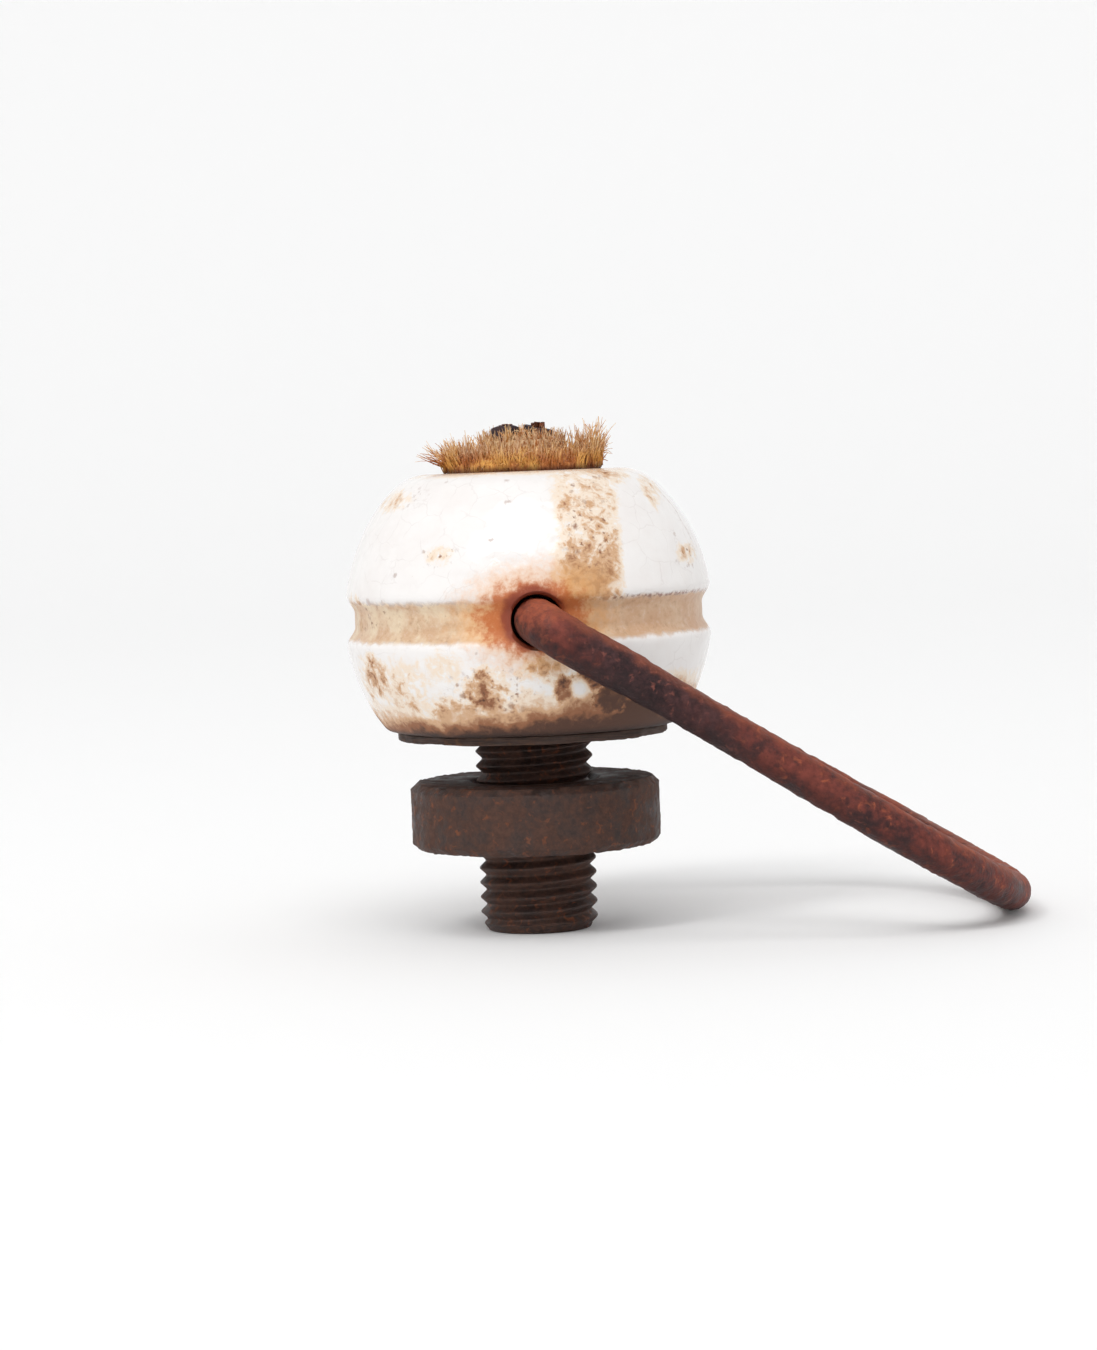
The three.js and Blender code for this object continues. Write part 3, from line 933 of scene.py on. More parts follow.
def rubber_material(cable):
    """Perished rubber: dull, cracked and dusty."""
    material, net, shader = new_material("black_rubber")
    place = net.place()
    dust = net.noise(place, 3.0, 5.0, 0.65)
    cracks = net.effect("Crazing", Density=1.8, Width=0.08)["Mask"]
    colour = net.mix(net.between(dust, 0.45, 0.75, 0.0, 0.55), cable.rubber, tint("6f5548"))
    finish_shader(
        net, shader, Base_Color=colour, Roughness=net.between(dust, 0.3, 0.7, 0.6, 0.9),
        Normal=bump(net, net.minus(dust, cracks), 0.05 * MM, 0.8),
    )
    return material


def copper_material(cable):
    """Copper gone brown, with bright scratches where it was cut."""
    material, net, shader = new_material("copper")
    place = net.place()
    tarnish = net.noise(place, 3.5, 5.0, 0.6)
    colour = net.mix(net.between(tarnish, 0.4, 0.62), cable.copper, tint("4a3026"))
    finish_shader(
        net, shader, Base_Color=colour, Metallic=0.85,
        Roughness=net.between(tarnish, 0.3, 0.7, 0.3, 0.6),
        Normal=bump(net, net.noise(place, 14.0, 2.0), 0.02 * MM, 0.6),
    )
    return material


def material_of(name, build, *settings):
    """A finish that several pieces share, built the first time that it is asked for."""
    return bpy.data.materials.get(AGED + name) or build(*settings)


def fibre_finish(name, cable, light, scale):
    """A plant fibre's finish, built once."""
    return material_of(name, fibre_material, name, cable, light, scale)


# ---- Porcelain ball -------------------------------------------------------------------------------


def ball_radius(ball):
    """The radius of the whole ball, from its width beside the groove."""
    half_width = (BALL_BOX[1].x - BALL_BOX[0].x) / 2
    return math.hypot(half_width, ball.widest)


def ball_outline(ball, radius, step):
    """The section of the porcelain, heights from the groove, anticlockwise from the foot of the bore."""
    above, below = BALL_BOX[1].z - PIVOT.z, PIVOT.z - BALL_BOX[0].z
    foot_round, top_round = 0.8 * MM, 3.4 * MM
    lip_height, lip_width = 0.02 * MM, 0.4 * MM

    def edge(flat, rounding):
        side = math.copysign(1, flat)
        centre_z = flat - side * rounding
        centre_r = math.sqrt((radius - rounding) ** 2 - centre_z**2)
        return centre_r, centre_z, math.atan2(centre_z, centre_r)

    def dip(z):
        half_floor, half_mouth = ball.groove_floor / 2, ball.groove_mouth / 2
        t = share(abs(z), half_mouth, half_floor)
        lip = lip_height * math.exp(-(((abs(z) - half_mouth - lip_width / 2) / lip_width) ** 2))
        return ball.groove_depth * t * t * (3 - 2 * t) - lip

    foot_r, foot_z, foot_angle = edge(-below, foot_round)
    top_r, top_z, top_angle = edge(above, top_round)
    outside = arc(foot_r, foot_z, foot_round, -math.pi / 2, foot_angle, step)
    for r, z in arc(0, 0, radius, foot_angle, top_angle, step)[1:]:
        outside.append((r - dip(z), z))
    outside += arc(top_r, top_z, top_round, top_angle, math.pi / 2, step)[1:]
    inside = eased(
        [
            (top_r, above, 0),
            (ball.mouth_radius, above, 0.45 * MM),
            (ball.mouth_radius, above - ball.mouth_depth, 0.4 * MM),
            (ball.bore_radius, above - ball.mouth_depth, 0.3 * MM),
            (ball.bore_radius, -below, 0.4 * MM),
            (foot_r, -below, 0),
        ],
        3 * step,
        closed=False,
    )
    return outside + inside[1:-1]


def side_hole_cutter(ball, radius, side):
    """A blind side hole with a trumpet mouth, as a solid to cut away."""
    lip = 0.24 * MM
    start, past, point = radius - ball.groove_depth - lip, radius + 1 * MM, 0.3 * MM
    profile = [(point, ball.hole_bottom), (ball.hole_radius, ball.hole_bottom)]
    for k in range(7):
        angle = math.pi / 2 * k / 6
        profile.append((ball.hole_radius + lip * (1 - math.cos(angle)), start + lip * math.sin(angle)))
    profile += [(ball.hole_radius + lip, past), (point, past)]
    x, z, y = np.moveaxis(turn(profile, sides=64), -1, 0)
    return tube_mesh("side_hole", np.stack([x, side * y, PIVOT.z - side * z], -1))


class INSULATOR_OT_ball(bpy.types.Operator):
    """Build the glazed porcelain ball with its groove, mouth, bore and side holes"""

    bl_idname = "insulator.ball"
    bl_label = "Porcelain ball"

    def execute(self, context):
        ball = context.scene.insulator_ball
        radius = ball_radius(ball)
        step = 0.17 * MM
        profile = [(r, z + PIVOT.z) for r, z in ball_outline(ball, radius, step)]
        mesh = turned_mesh("porcelain", profile, sides=288)
        wobble = ball.wobble
        layers = [
            ("swell", 7 * MM, wobble),
            ("swell", 2.2 * MM, 0.35 * wobble),
            ("pit", 0.9 * MM, 0.5 * wobble),
        ]
        roughen(mesh, layers, keep=lambda point: share(from_axis(point), 7 * MM, 10 * MM))
        material = material_of("glazed_porcelain", porcelain_material, ball)
        obj = link_piece("porcelain_ball", mesh, "porcelain_body", material)
        cut_away(obj, [side_hole_cutter(ball, radius, side) for side in (-1, 1)])
        obj.data.set_sharp_from_angle(angle=math.radians(35))
        return {"FINISHED"}


# ---- Wire bail ------------------------------------------------------------------------------------


def bail_droop(bail):
    """How far the crown's centreline lies from the pivot, and its angle below level."""
    across = BAIL_BOX[1].x - bail.wire_radius - PIVOT.x
    down = PIVOT.z - BAIL_BOX[0].z - bail.wire_radius
    return math.hypot(across, down), math.atan2(down, across)


def bail_line(bail):
    """The wire's centreline from pin to pin, its plane's slope towards the crown and its normal."""
    reach, droop = bail_droop(bail)
    half_width = BAIL_BOX[1].y - bail.wire_radius
    bend, crown_start = bail.bend_radius, reach - half_width
    step = 0.22 * MM
    pin_length = half_width - bend - bail.pin_tip
    pin_steps = round(pin_length / step)
    half = [(0.0, -bail.pin_tip - pin_length * k / pin_steps) for k in range(pin_steps)]
    half += arc(bend, -(half_width - bend), bend, math.pi, 1.5 * math.pi, step)
    leg_length = crown_start - bend
    leg_steps = round(leg_length / step)
    half += [(bend + leg_length * k / leg_steps, -half_width) for k in range(1, leg_steps)]
    half += arc(crown_start, 0, half_width, -math.pi / 2, 0, step)
    flat = half + [(u, -v) for u, v in reversed(half[:-1])]
    along = Vector((math.cos(droop), 0, -math.sin(droop)))
    normal = Vector((math.sin(droop), 0, math.cos(droop)))
    # The hand-bent legs drop a little at the pins and then run straight to the crown.
    line = []
    for u, v in flat:
        drop = bail.sag * (1 - math.exp(-u / (3 * MM))) * (1 - u / reach)
        sway = bail.sway * math.sin(u / (6 * MM) + (1.2 if v > 0 else 0)) * min(1, u / (6 * MM))
        line.append(PIVOT + along * u + Vector((0, v, 0)) + normal * (sway - drop))
    return line, along, normal


def bail_radii(bail, line, along):
    """The wire's radius at each point: the pins' ends are filed round, and rust builds up near the ball."""
    rounding = 4
    radii = []
    for i, point in enumerate(line):
        from_end = min(i, len(line) - 1 - i, rounding) / rounding
        round_tip = 0.72 + 0.28 * math.sqrt(1 - (1 - from_end) ** 2)
        away = share((point - PIVOT).dot(along), 4 * MM, 11 * MM)
        radii.append(bail.wire_radius * round_tip + bail.build_up * (1 - away * away * (3 - 2 * away)))
    return radii


def rust_share(point):
    """How rough the wire is at a point: smoother where the pins turn in their holes."""
    if point[0] > 8 * MM:
        return 1.0
    return share(abs(point[1]), 10 * MM, 12 * MM, least=0.15)


class INSULATOR_OT_bail(bpy.types.Operator):
    """Build the rusty wire bail"""

    bl_idname = "insulator.bail"
    bl_label = "Wire bail"

    def execute(self, context):
        bail = context.scene.insulator_bail
        line, along, normal = bail_line(bail)
        rings = sweep(line, bail_radii(bail, line, along), sides=56, flat_normal=normal)
        mesh = tube_mesh("bail", rings)
        pit = bail.pitting
        layers = [
            ("swell", 3.5 * MM, 0.5 * pit),
            ("pit", 0.8 * MM, 0.7 * pit),
            ("crust", 0.55 * MM, 0.5 * pit),
            ("swell", 0.25 * MM, 0.25 * pit),
        ]
        roughen(mesh, layers, keep=rust_share)
        material = material_of("rusty_wire", rusty_wire_material, bail)
        link_piece("wire_bail_rusty", mesh, "wire_bail", material, body="bail")
        return {"FINISHED"}


# ---- Tube, nuts and washers -----------------------------------------------------------------------


def threaded_tube(iron):
    """The lamp tube with its helical thread, bore and bevelled ends."""
    low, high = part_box("stem_tube")
    radius, bore = high.x, high.x - 1.0 * MM
    sides, rows_per_turn = 72, 12
    rows = round((high.z - low.z) / iron.pitch * rows_per_turn)
    heights = np.linspace(low.z, high.z, rows + 1)
    angle = np.linspace(0, 2 * math.pi, sides, endpoint=False)
    phase = (heights[:, None] / iron.pitch - angle[None, :] / (2 * math.pi)) % 1.0
    flank = np.clip(np.abs(phase - 0.5) * 2 * 1.25 - 0.12, 0, 1)
    from_end = np.minimum(heights - low.z, high.z - heights)[:, None]
    bevel = np.clip(1 - from_end / (0.7 * MM), 0, 1) * 0.5 * MM
    r = np.minimum(radius - iron.thread_depth * flank, radius - bevel)
    wide, ease = bore + 0.25 * MM, 0.3 * MM
    inside = [(wide, high.z), (bore, high.z - ease), (bore, low.z + ease), (wide, low.z)]
    return relief_sleeve("tube", heights, r, inside, sharp_angle=50)


def ring_corners(node, inner, ease):
    """The four eased corners of a ring as wide and high as a CAD node."""
    low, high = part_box(node)
    outer = (high.x - low.x) / 2
    return [(inner, low.z, ease), (outer, low.z, ease), (outer, high.z, ease), (inner, high.z, ease)]


def nut_corners(node, chamfer, outer_ease, face_ease):
    """The eased corners of a round nut with bevelled edges, as wide and high as a CAD node."""
    low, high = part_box(node)
    inner = 4.1 * MM
    return [
        (inner + chamfer, low.z, face_ease),
        (high.x - chamfer, low.z, outer_ease),
        (high.x, low.z + chamfer, outer_ease),
        (high.x, high.z - chamfer, outer_ease),
        (high.x - chamfer, high.z, outer_ease),
        (inner + chamfer, high.z, face_ease),
        (inner, high.z - chamfer, 0),
        (inner, low.z + chamfer, 0),
    ]


def slotted_nut():
    """The round nut in the mouth, before its slot is cut."""
    corners = nut_corners("top_nut", 0.3 * MM, 0.1 * MM, 0)
    mesh = turned_mesh("nut", eased(corners, 0.35 * MM), sides=96)
    roughen(mesh, [("swell", 1.2 * MM, 0.03 * MM)])
    return mesh


def slot_cutter():
    """The screwdriver slot across the round nut, as a solid to cut away."""
    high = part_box("top_nut")[1]
    half_length, half_width, depth = high.x + 1 * MM, 0.7 * MM, 1.1 * MM
    xs, ys, zs = (-half_length, half_length), (-half_width, half_width), (high.z - depth, high.z + 1 * MM)
    points = [(x, y, z) for x in xs for y in ys for z in zs]
    faces = [(0, 1, 3, 2), (4, 6, 7, 5), (0, 4, 5, 1), (2, 3, 7, 6), (0, 2, 6, 4), (1, 5, 7, 3)]
    return mesh_from("slot", points, faces)


def collar_mesh():
    """The round collar nut under the bracket, corroded and crusted."""
    corners = nut_corners("collar_nut", 0.45 * MM, 0.06 * MM, 0.1 * MM)
    mesh = turned_mesh("collar", eased(corners, 0.2 * MM), sides=256)
    layers = [
        ("swell", 3.0 * MM, 0.04 * MM), ("crust", 0.7 * MM, 0.07 * MM),
        ("pit", 0.5 * MM, 0.08 * MM), ("swell", 0.25 * MM, 0.02 * MM),
    ]
    roughen(mesh, layers, keep=lambda point: share(from_axis(point), 5 * MM, 7 * MM))
    return mesh


class INSULATOR_OT_hardware(bpy.types.Operator):
    """Build the threaded tube, the slotted nut, the collar nut and the two washers"""

    bl_idname = "insulator.hardware"
    bl_label = "Tube, nuts and washers"

    def execute(self, context):
        iron = context.scene.insulator_iron
        black = material_of("oxidised_iron", iron_material, iron)
        board = material_of("vulcanised_fibre", fibre_board_material, iron)
        link_piece("threaded_tube", threaded_tube(iron), "stem_tube", black)
        nut = link_piece("slotted_nut", slotted_nut(), "top_nut", black)
        cut_away(nut, [slot_cutter()])
        link_piece("round_collar", collar_mesh(), "collar_nut", black)
        for name, node in (("mouth_washer", "top_washer"), ("foot_washer", "seat_washer")):
            outline = eased(ring_corners(node, 4.15 * MM, 0.12 * MM), 0.12 * MM)
            mesh = turned_mesh(name, outline, sides=192)
            roughen(mesh, [("swell", 2.5 * MM, 0.06 * MM), ("pit", 0.7 * MM, 0.08 * MM)])
            link_piece(name, mesh, node, board)
        return {"FINISHED"}


# ---- Cable and packing ----------------------------------------------------------------------------


def directions(angle):
    """The outward and the sideways direction at an angle round the axis."""
    return Vector((math.cos(angle), math.sin(angle), 0)), Vector((-math.sin(angle), math.cos(angle), 0))


def fibre_line(root, lean, length, curl, rng, steps=6):
    """Centres of one loose fibre: it rises, leans over and curls."""
    heading = Vector((lean[0], lean[1], 1)).normalized()
    turn_axis = Vector((rng.gauss(0, 1), rng.gauss(0, 1), rng.gauss(0, 0.6))).normalized()
    point, line = Vector(root), [Vector(root)]
    for k in range(steps):
        heading = (Quaternion(turn_axis, curl * (0.4 + k / steps)) @ heading).normalized()
        point = point + heading * length / steps
        line.append(point.copy())
    return line


# Tufts of the frayed ring: angle in degrees, half width in degrees, height above the rest, lean outwards.
TUFTS = [
    (-32, 17, 1.45, 0.05), (-62, 12, 0.35, 0.05), (-88, 16, 0.1, 0.0), (-122, 13, 0.75, 0.1),
    (-147, 13, 1.2, 0.2), (-170, 14, 0.25, 0.7), (-8, 14, 1.1, 0.25), (20, 12, 0.4, 0.3),
    (60, 16, 0.8, 0.2), (100, 18, 0.5, 0.15), (150, 14, 0.7, 0.4),
]


def tuft_at(degrees):
    """Extra height in millimetres and lean of the frayed ring at an angle round the axis."""
    height = lean = 0.0
    for centre, width, extra, out in TUFTS:
        away = (degrees - centre + 180) % 360 - 180
        share = math.exp(-((away / width) ** 2))
        height, lean = height + extra * share, lean + out * share
    return height, lean


def packing_plug():
    """The packed part of the fibre: it fills the mouth and ends in a lumpy ring above the top flat."""
    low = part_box("hemp_packing")[0]
    mouth, around_tube, around_cable = 5.2 * MM, 4.15 * MM, 3.0 * MM
    tube_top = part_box("stem_tube")[1].z + 0.15 * MM
    top = TOP_FLAT + 0.75 * MM
    corners = [
        (around_tube, low.z, 0.1 * MM), (mouth, low.z, 0.2 * MM), (mouth, TOP_FLAT, 0.1 * MM),
        (5.25 * MM, top - 0.25 * MM, 0.3 * MM), (4.7 * MM, top, 0.3 * MM), (3.6 * MM, top, 0.3 * MM),
        (around_cable, top - 0.3 * MM, 0.2 * MM), (around_cable, tube_top, 0.1 * MM),
        (around_tube, tube_top, 0.1 * MM),
    ]
    mesh = turned_mesh("plug", eased(corners, 0.2 * MM), sides=160)
    layers = [("swell", 1.0 * MM, 0.25 * MM), ("swell", 0.4 * MM, 0.2 * MM)]
    roughen(mesh, layers, keep=lambda point: share(point[2], TOP_FLAT, TOP_FLAT + 0.4 * MM, least=0.1))
    return mesh


def frayed_ring(cable, rng):
    """Strands round the mouth, each frayed into loose fibres."""
    bundle = Bundle()
    count = cable.tuft_strands
    for strand in range(count):
        degrees = 360 * (strand + rng.uniform(-0.4, 0.4)) / count
        outward, sideways = directions(math.radians(degrees))
        extra, lean = tuft_at(degrees)
        ring = (5.2 - 2.0 * rng.random() ** 1.6) * MM
        height = (1.25 + extra) * rng.uniform(0.75, 1.12) * MM
        strand_sway = rng.gauss(0, 0.16)
        for _ in range(cable.fibres_per_strand):
            spread = Vector((rng.gauss(0, 0.15), rng.gauss(0, 0.15), 0)) * MM
            root = outward * ring + spread + Vector((0, 0, TOP_FLAT + rng.uniform(-0.05, 0.5) * MM))
            out = lean * (ring / (5.2 * MM)) ** 3 + rng.gauss(0.04, 0.13)
            direction = outward * out + sideways * (strand_sway + rng.gauss(0, 0.13))
            length = height * rng.uniform(0.6, 1.1)
            radius = cable.fibre_radius * rng.uniform(0.6, 1.3)
            bundle.add(fibre_line(root, direction, length, rng.gauss(0, 0.12), rng), radius)
    return bundle


def fuzz(bundle, cable, rng, count=520):
    """Short fine hair over the outside of the ring, which hides where the strands start."""
    for _ in range(count):
        outward, sideways = directions(rng.uniform(0, 2 * math.pi))
        root = outward * rng.uniform(4.95, 5.3) * MM + Vector((0, 0, TOP_FLAT + rng.uniform(0.0, 0.7) * MM))
        direction = outward * rng.uniform(0.05, 0.45) + sideways * rng.gauss(0, 0.35)
        length = rng.uniform(0.5, 1.5) * MM
        line = fibre_line(root, direction, length, rng.gauss(0, 0.25), rng, 4)
        bundle.add(line, cable.fibre_radius * rng.uniform(0.5, 1))


# Stray strands: angle in degrees, height of the root, length, lean outwards, number of fibres.
STRAYS = [
    (188, 0.2, 2.7, 2.4, 14), (179, 0.5, 2.3, 1.5, 12), (200, 0.3, 2.0, 1.6, 9), (-150, 0.4, 2.2, 0.8, 10),
    (-22, 0.5, 2.9, 0.3, 16), (70, 0.3, 2.4, 1.2, 12), (120, 0.4, 2.6, 0.9, 12), (24, 0.4, 2.0, 0.8, 8),
]


def stray_strands(bundle, cable, rng):
    """Longer strands that stick out over the shoulder of the ball."""
    for degrees, rise, length, lean, fibres in STRAYS:
        outward = directions(math.radians(degrees))[0]
        for _ in range(fibres):
            spread = Vector((rng.gauss(0, 0.14), rng.gauss(0, 0.14), rng.uniform(0, 0.3) + rise)) * MM
            root = outward * 4.9 * MM + spread + Vector((0, 0, TOP_FLAT))
            direction = outward * lean + Vector((rng.gauss(0, 0.1), rng.gauss(0, 0.1), 0))
            size = length * rng.uniform(0.6, 1.05) * MM
            line = fibre_line(root, direction, size, rng.gauss(0, 0.1), rng)
            bundle.add(line, cable.fibre_radius * rng.uniform(0.7, 1.2))


def braid_mesh(rng, cable):
    """The cable's braid: crossing yarns over the tube's length, and cut ends that stand up on top."""
    low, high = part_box("cable_braid")
    radius, wall = high.x, 0.4 * MM
    yarns, pitch, relief = 10, 5.5 * MM, 0.11 * MM
    sides, rows = 120, 170
    top = high.z - 0.5 * MM
    heights = np.linspace(low.z, top, rows)
    angle = np.linspace(0, 2 * math.pi, sides, endpoint=False)
    turnings = heights[:, None] / pitch * 2 * math.pi
    one = np.cos(yarns * (angle[None, :] - turnings / 2))
    other = np.cos(yarns * (angle[None, :] + turnings / 2))
    weave = np.maximum(np.abs(one) ** 0.7 * (other > 0), np.abs(other) ** 0.7 * (other <= 0))
    r = radius - relief + relief * weave
    bundle = Bundle()
    bundle.join(relief_sleeve("woven", heights, r, [(radius - wall, top), (radius - wall, low.z)]))
    cut_fibres, fibre_start = 420, 1.4 * MM
    for _ in range(cut_fibres):
        outward, sideways = directions(rng.uniform(0, 2 * math.pi))
        root = outward * (radius - rng.uniform(0.1, 0.5) * MM) + Vector((0, 0, top - fibre_start))
        length = rng.uniform(1.3, 2.3) * MM
        direction = outward * rng.gauss(0.1, 0.1) + sideways * rng.gauss(0, 0.2)
        line = fibre_line(root, direction, length, rng.gauss(0, 0.07), rng)
        bundle.add(line, cable.fibre_radius * rng.uniform(0.8, 1.5))
    return bundle.mesh("braid")


def filler_mesh(rng, cable):
    """Jute strands that fill the cable round its two wires."""
    low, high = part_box("jute_filler")
    bundle = Bundle()
    wires = [Vector((side * 1.1 * MM, 0, 0)) for side in (-1, 1)]
    spacing, free_of_wire, steps = 0.42 * MM, 1.22 * MM, 24
    count = int(high.x / spacing) + 1
    for i in range(-count, count + 1):
        for j in range(-count, count + 1):
            spot = Vector(((i + 0.5 * (j % 2)) * spacing, j * spacing * 0.87, 0))
            beside_wire = any((spot - wire).length < free_of_wire for wire in wires)
            if beside_wire or spot.length > high.x - 0.2 * MM:
                continue
            top = high.z + rng.uniform(-0.35, 0.35) * MM
            line = []
            for k in range(steps + 1):
                z = low.z + (top - low.z) * k / steps
                sway = Vector((math.sin(k * 0.9 + i), math.cos(k * 0.8 + j), 0)) * 0.02 * MM
                line.append(spot + sway + Vector((0, 0, z)))
            bundle.add(line, 0.19 * MM, 0.9)
            for _ in range(7):
                root = spot + Vector((rng.gauss(0, 0.06) * MM, rng.gauss(0, 0.06) * MM, top - 0.3 * MM))
                lean = Vector((rng.gauss(0, 0.18), rng.gauss(0, 0.18), 0))
                line = fibre_line(root, lean, rng.uniform(0.4, 1.1) * MM, rng.gauss(0, 0.15), rng)
                bundle.add(line, cable.fibre_radius * rng.uniform(0.6, 1.1))
    return bundle.mesh("filler")


def sleeve_mesh(node, rng):
    """A rubber sleeve with an uneven, slightly frayed cut."""
    low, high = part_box(node)
    centre = ((low.x + high.x) / 2, (low.y + high.y) / 2)
    corners = ring_corners(node, 0.62 * MM, 0.08 * MM)
    mesh = turned_mesh(node, eased(corners, 0.18 * MM), sides=40, centre=centre)
    tilt_x, tilt_y = rng.uniform(-0.3, 0.3), rng.uniform(-0.3, 0.3)
    for vertex in mesh.vertices:
        near_cut = max(0.0, 1 - (high.z - vertex.co.z) / (1.5 * MM))
        slope = tilt_x * (vertex.co.x - centre[0]) + tilt_y * (vertex.co.y - centre[1])
        vertex.co.z += (slope - 0.35 * MM) * near_cut
    roughen(mesh, [("swell", 0.8 * MM, 0.05 * MM), ("pit", 0.35 * MM, 0.06 * MM)])
    return mesh


def copper_strands(node, rng):
    """Seven thin twisted copper strands in place of one rod."""
    low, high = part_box(node)
    centre = Vector(((low.x + high.x) / 2, (low.y + high.y) / 2, 0))
    strand, lay = 0.165 * MM, 9 * MM
    bundle, steps = Bundle(sides=8), 60
    for number in range(7):
        offset = 0 if number == 0 else 2 * strand
        top = high.z + rng.uniform(-0.25, 0.0) * MM
        line = []
        for k in range(steps + 1):
            z = low.z + (top - low.z) * k / steps
            angle = number * math.pi / 3 + 2 * math.pi * z / lay
            line.append(centre + Vector((offset * math.cos(angle), offset * math.sin(angle), z)))
        bundle.add(line, strand, 0.95)
    return bundle.mesh(node)


class INSULATOR_OT_packing(bpy.types.Operator):
    """Build the fibre packing in the mouth and the frayed ring above it"""

    bl_idname = "insulator.packing"
    bl_label = "Fibre packing"

    def execute(self, context):
        cable = context.scene.insulator_cable
        rng = random.Random(PACKING_SEED)
        bundle = frayed_ring(cable, rng)
        fuzz(bundle, cable, rng)
        stray_strands(bundle, cable, rng)
        bundle.join(packing_plug())
        hemp = fibre_finish("hemp_fibre", cable, cable.hemp, 7.0)
        link_piece("frayed_packing", bundle.mesh("packing"), "hemp_packing", hemp)
        return {"FINISHED"}


class INSULATOR_OT_cable(bpy.types.Operator):
    """Build the cable stub: braid, jute filler, rubber sleeves and copper strands"""

    bl_idname = "insulator.cable"
    bl_label = "Cable stub"

    def execute(self, context):
        cable = context.scene.insulator_cable
        rng = random.Random(CABLE_SEED)
        cotton = fibre_finish("cotton_braid", cable, cable.cotton, 9.0)
        hemp = fibre_finish("hemp_fibre", cable, cable.hemp, 7.0)
        rubber = material_of("black_rubber", rubber_material, cable)
        copper = material_of("copper", copper_material, cable)
        link_piece("woven_braid", braid_mesh(rng, cable), "cable_braid", cotton)
        link_piece("jute_strands", filler_mesh(rng, cable), "jute_filler", hemp)
        for side in ("left", "right"):
            sleeve, wire = f"rubber_core_{side}", f"copper_wire_{side}"
            link_piece(f"rubber_sleeve_{side}", sleeve_mesh(sleeve, rng), sleeve, rubber)
            link_piece(f"copper_strands_{side}", copper_strands(wire, rng), wire, copper)
        return {"FINISHED"}


# ---- Stage ----------------------------------------------------------------------------------------


def look_from(location, target, roll=0.0):
    """The rotation that looks from one point to another, leaning by roll."""
    straight = (Vector(target) - Vector(location)).to_track_quat("-Z", "Y")
    return straight @ Quaternion((0, 0, 1), roll)


def set_up(obj, location, target, roll=0.0):
    """Links a camera or light to the scene and aims it from its place at a target."""
    obj.location = location
    obj.rotation_mode = "QUATERNION"
    obj.rotation_quaternion = look_from(location, target, roll)
    bpy.context.scene.collection.objects.link(obj)


def add_light(name, kind, location, target, **settings):
    """A light with its settings."""
    data = bpy.data.lights.new(name, kind)
    for setting, value in settings.items():
        setattr(data, setting, value)
    set_up(bpy.data.objects.new(name, data), location, target)


def add_camera(stage):
    """The camera, a little beside and above the side hole's axis."""
    data = bpy.data.cameras.new("camera")
    camera = bpy.data.objects.new("camera", data)
    flat, rise = math.cos(stage.elevation), math.sin(stage.elevation)
    back = Vector((math.sin(stage.azimuth) * flat, -math.cos(stage.azimuth) * flat, rise))
    location = PIVOT + back * stage.distance
    target = Vector((stage.aim, 0, MIDDLE.z))
    set_up(camera, location, target, stage.roll)
    data.sensor_width = 36
    data.lens = data.sensor_width * (location - target).length / (stage.view_width * PICTURE_SHAPE)
    data.clip_start, data.clip_end = 0.01, 10
    bpy.context.scene.camera = camera


def add_sky(stage):
    """An even white light from all round."""
    world = bpy.data.worlds.new("studio")
    world.use_nodes = True
    background = world.node_tree.nodes["Background"]
    background.inputs["Color"].default_value = (1, 1, 1, 1)
    background.inputs["Strength"].default_value = stage.sky
    bpy.context.scene.world = world


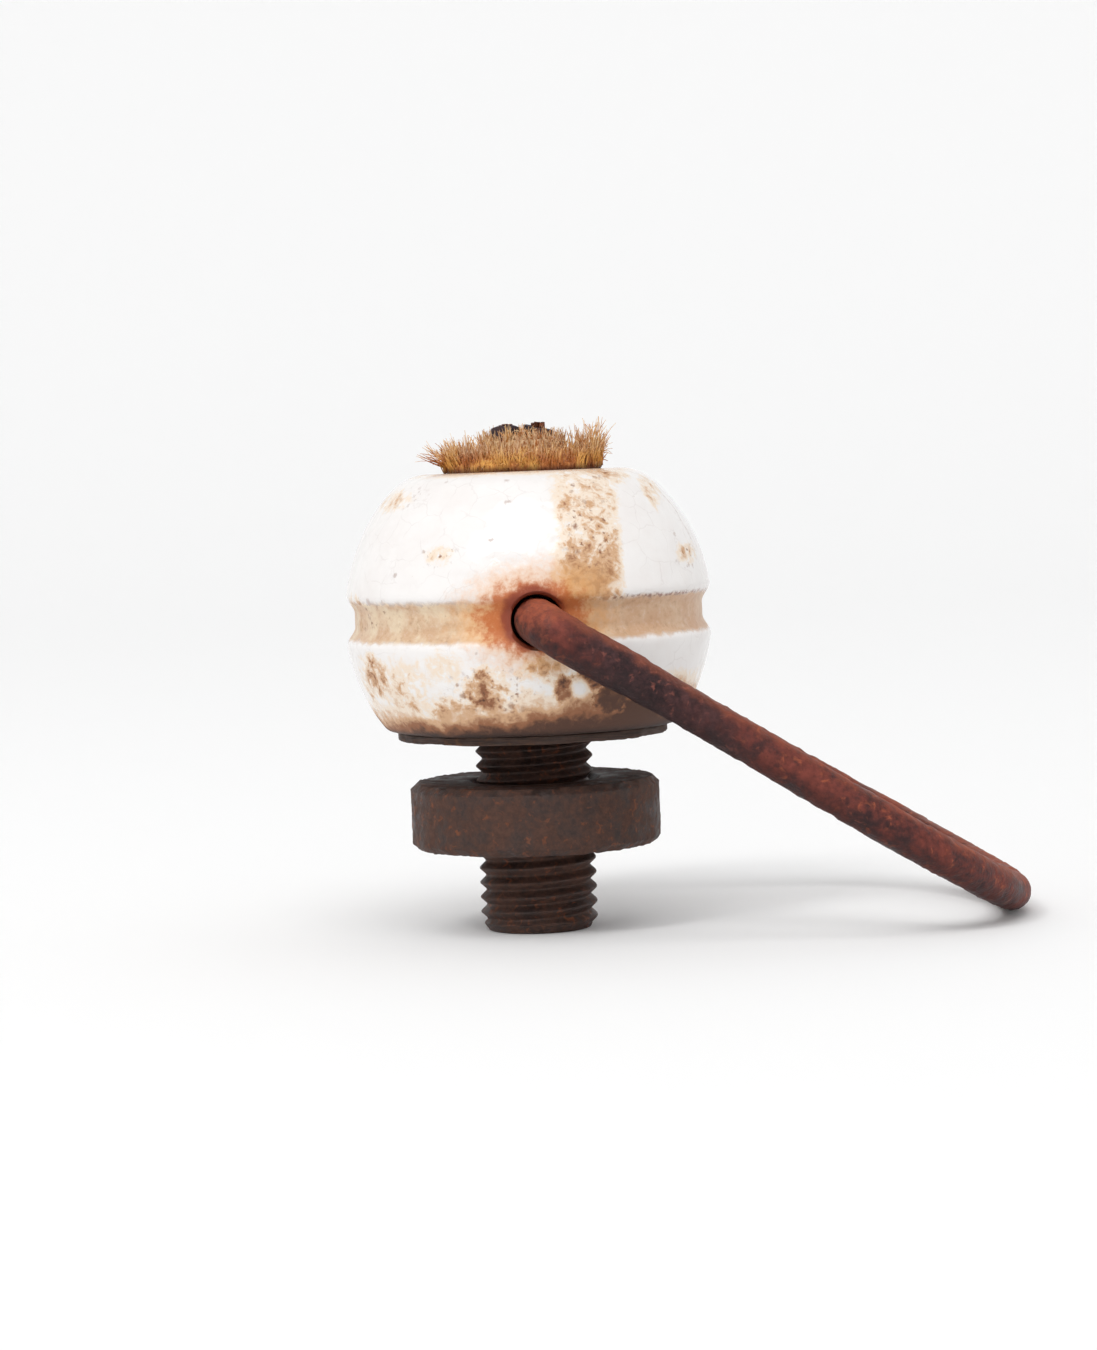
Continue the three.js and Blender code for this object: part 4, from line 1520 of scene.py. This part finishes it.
def add_sweep(stage):
    """A floor just under the lowest point, which curves up into a backdrop all round the object."""
    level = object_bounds()[0].z - 0.01 * MM
    half, rise, curve, sides = 0.6, 1.7, 1.4, 96
    profile = [(0.001, 0)] + [(half * k / 8, 0) for k in range(1, 9)]
    for k in range(1, 13):
        angle = math.pi / 2 * k / 12
        profile.append((half + curve * math.sin(angle), curve * (1 - math.cos(angle))))
    profile.append((half + curve, rise))
    points = turn([(r, z + level) for r, z in profile], sides)
    faces = grid_faces(len(profile), sides, False) + [list(range(sides))]
    floor = bpy.data.objects.new("floor", mesh_from("floor", points, faces))
    material, net, shader = new_material("floor")
    finish_shader(net, shader, Base_Color=stage.floor, Roughness=0.9)
    floor.data.materials.append(material)
    bpy.context.scene.collection.objects.link(floor)
    floor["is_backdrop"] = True


class INSULATOR_OT_stage(bpy.types.Operator):
    """Set up the camera, the pale floor and the studio light"""

    bl_idname = "insulator.stage"
    bl_label = "Stage"

    def execute(self, context):
        stage = context.scene.insulator_stage
        add_sweep(stage)
        add_camera(stage)
        add_light(
            "key", "AREA", (-0.26, -0.34, 0.42), MIDDLE, energy=stage.key_power, shape="SQUARE", size=0.12
        )
        add_light("sun", "SUN", (-0.1, -0.9, 1.4), (0, 0, 0), energy=stage.sun, angle=math.radians(40))
        add_sky(stage)
        context.scene.view_settings.view_transform = "Standard"
        return {"FINISHED"}


# ---- Sidebar and start ----------------------------------------------------------------------------


BUILDERS = (
    INSULATOR_OT_ball,
    INSULATOR_OT_bail,
    INSULATOR_OT_hardware,
    INSULATOR_OT_packing,
    INSULATOR_OT_cable,
    INSULATOR_OT_stage,
)
SETTINGS = {
    "insulator_ball": BallSettings,
    "insulator_bail": BailSettings,
    "insulator_iron": IronSettings,
    "insulator_cable": CableSettings,
    "insulator_stage": StageSettings,
}


class INSULATOR_PT_sidebar(bpy.types.Panel):
    """Settings and builders of the insulator"""

    bl_idname = "INSULATOR_PT_sidebar"
    bl_label = "Porcelain insulator"
    bl_space_type = "VIEW_3D"
    bl_region_type = "UI"
    bl_category = "Insulator"

    def draw(self, context):
        for builder in BUILDERS:
            self.layout.operator(builder.bl_idname)
        for name, group in SETTINGS.items():
            box = self.layout.box()
            box.label(text=group.__doc__)
            for setting in group.__annotations__:
                box.prop(getattr(context.scene, name), setting)


CLASSES = (*SETTINGS.values(), *BUILDERS, INSULATOR_PT_sidebar)


def register():
    """Registers the classes and hangs their settings on the scene."""
    for cls in CLASSES:
        bpy.utils.register_class(cls)
    for name, group in SETTINGS.items():
        setattr(bpy.types.Scene, name, PointerProperty(type=group))


def unregister():
    """Takes the settings and the classes away again."""
    for name in SETTINGS:
        delattr(bpy.types.Scene, name)
    for cls in reversed(CLASSES):
        bpy.utils.unregister_class(cls)


def main():
    """Registers the add-on and builds the whole object and its stage."""
    register()
    for builder in BUILDERS:
        group, name = builder.bl_idname.split(".")
        getattr(getattr(bpy.ops, group), name)()


if __name__ == "__main__":
    main()
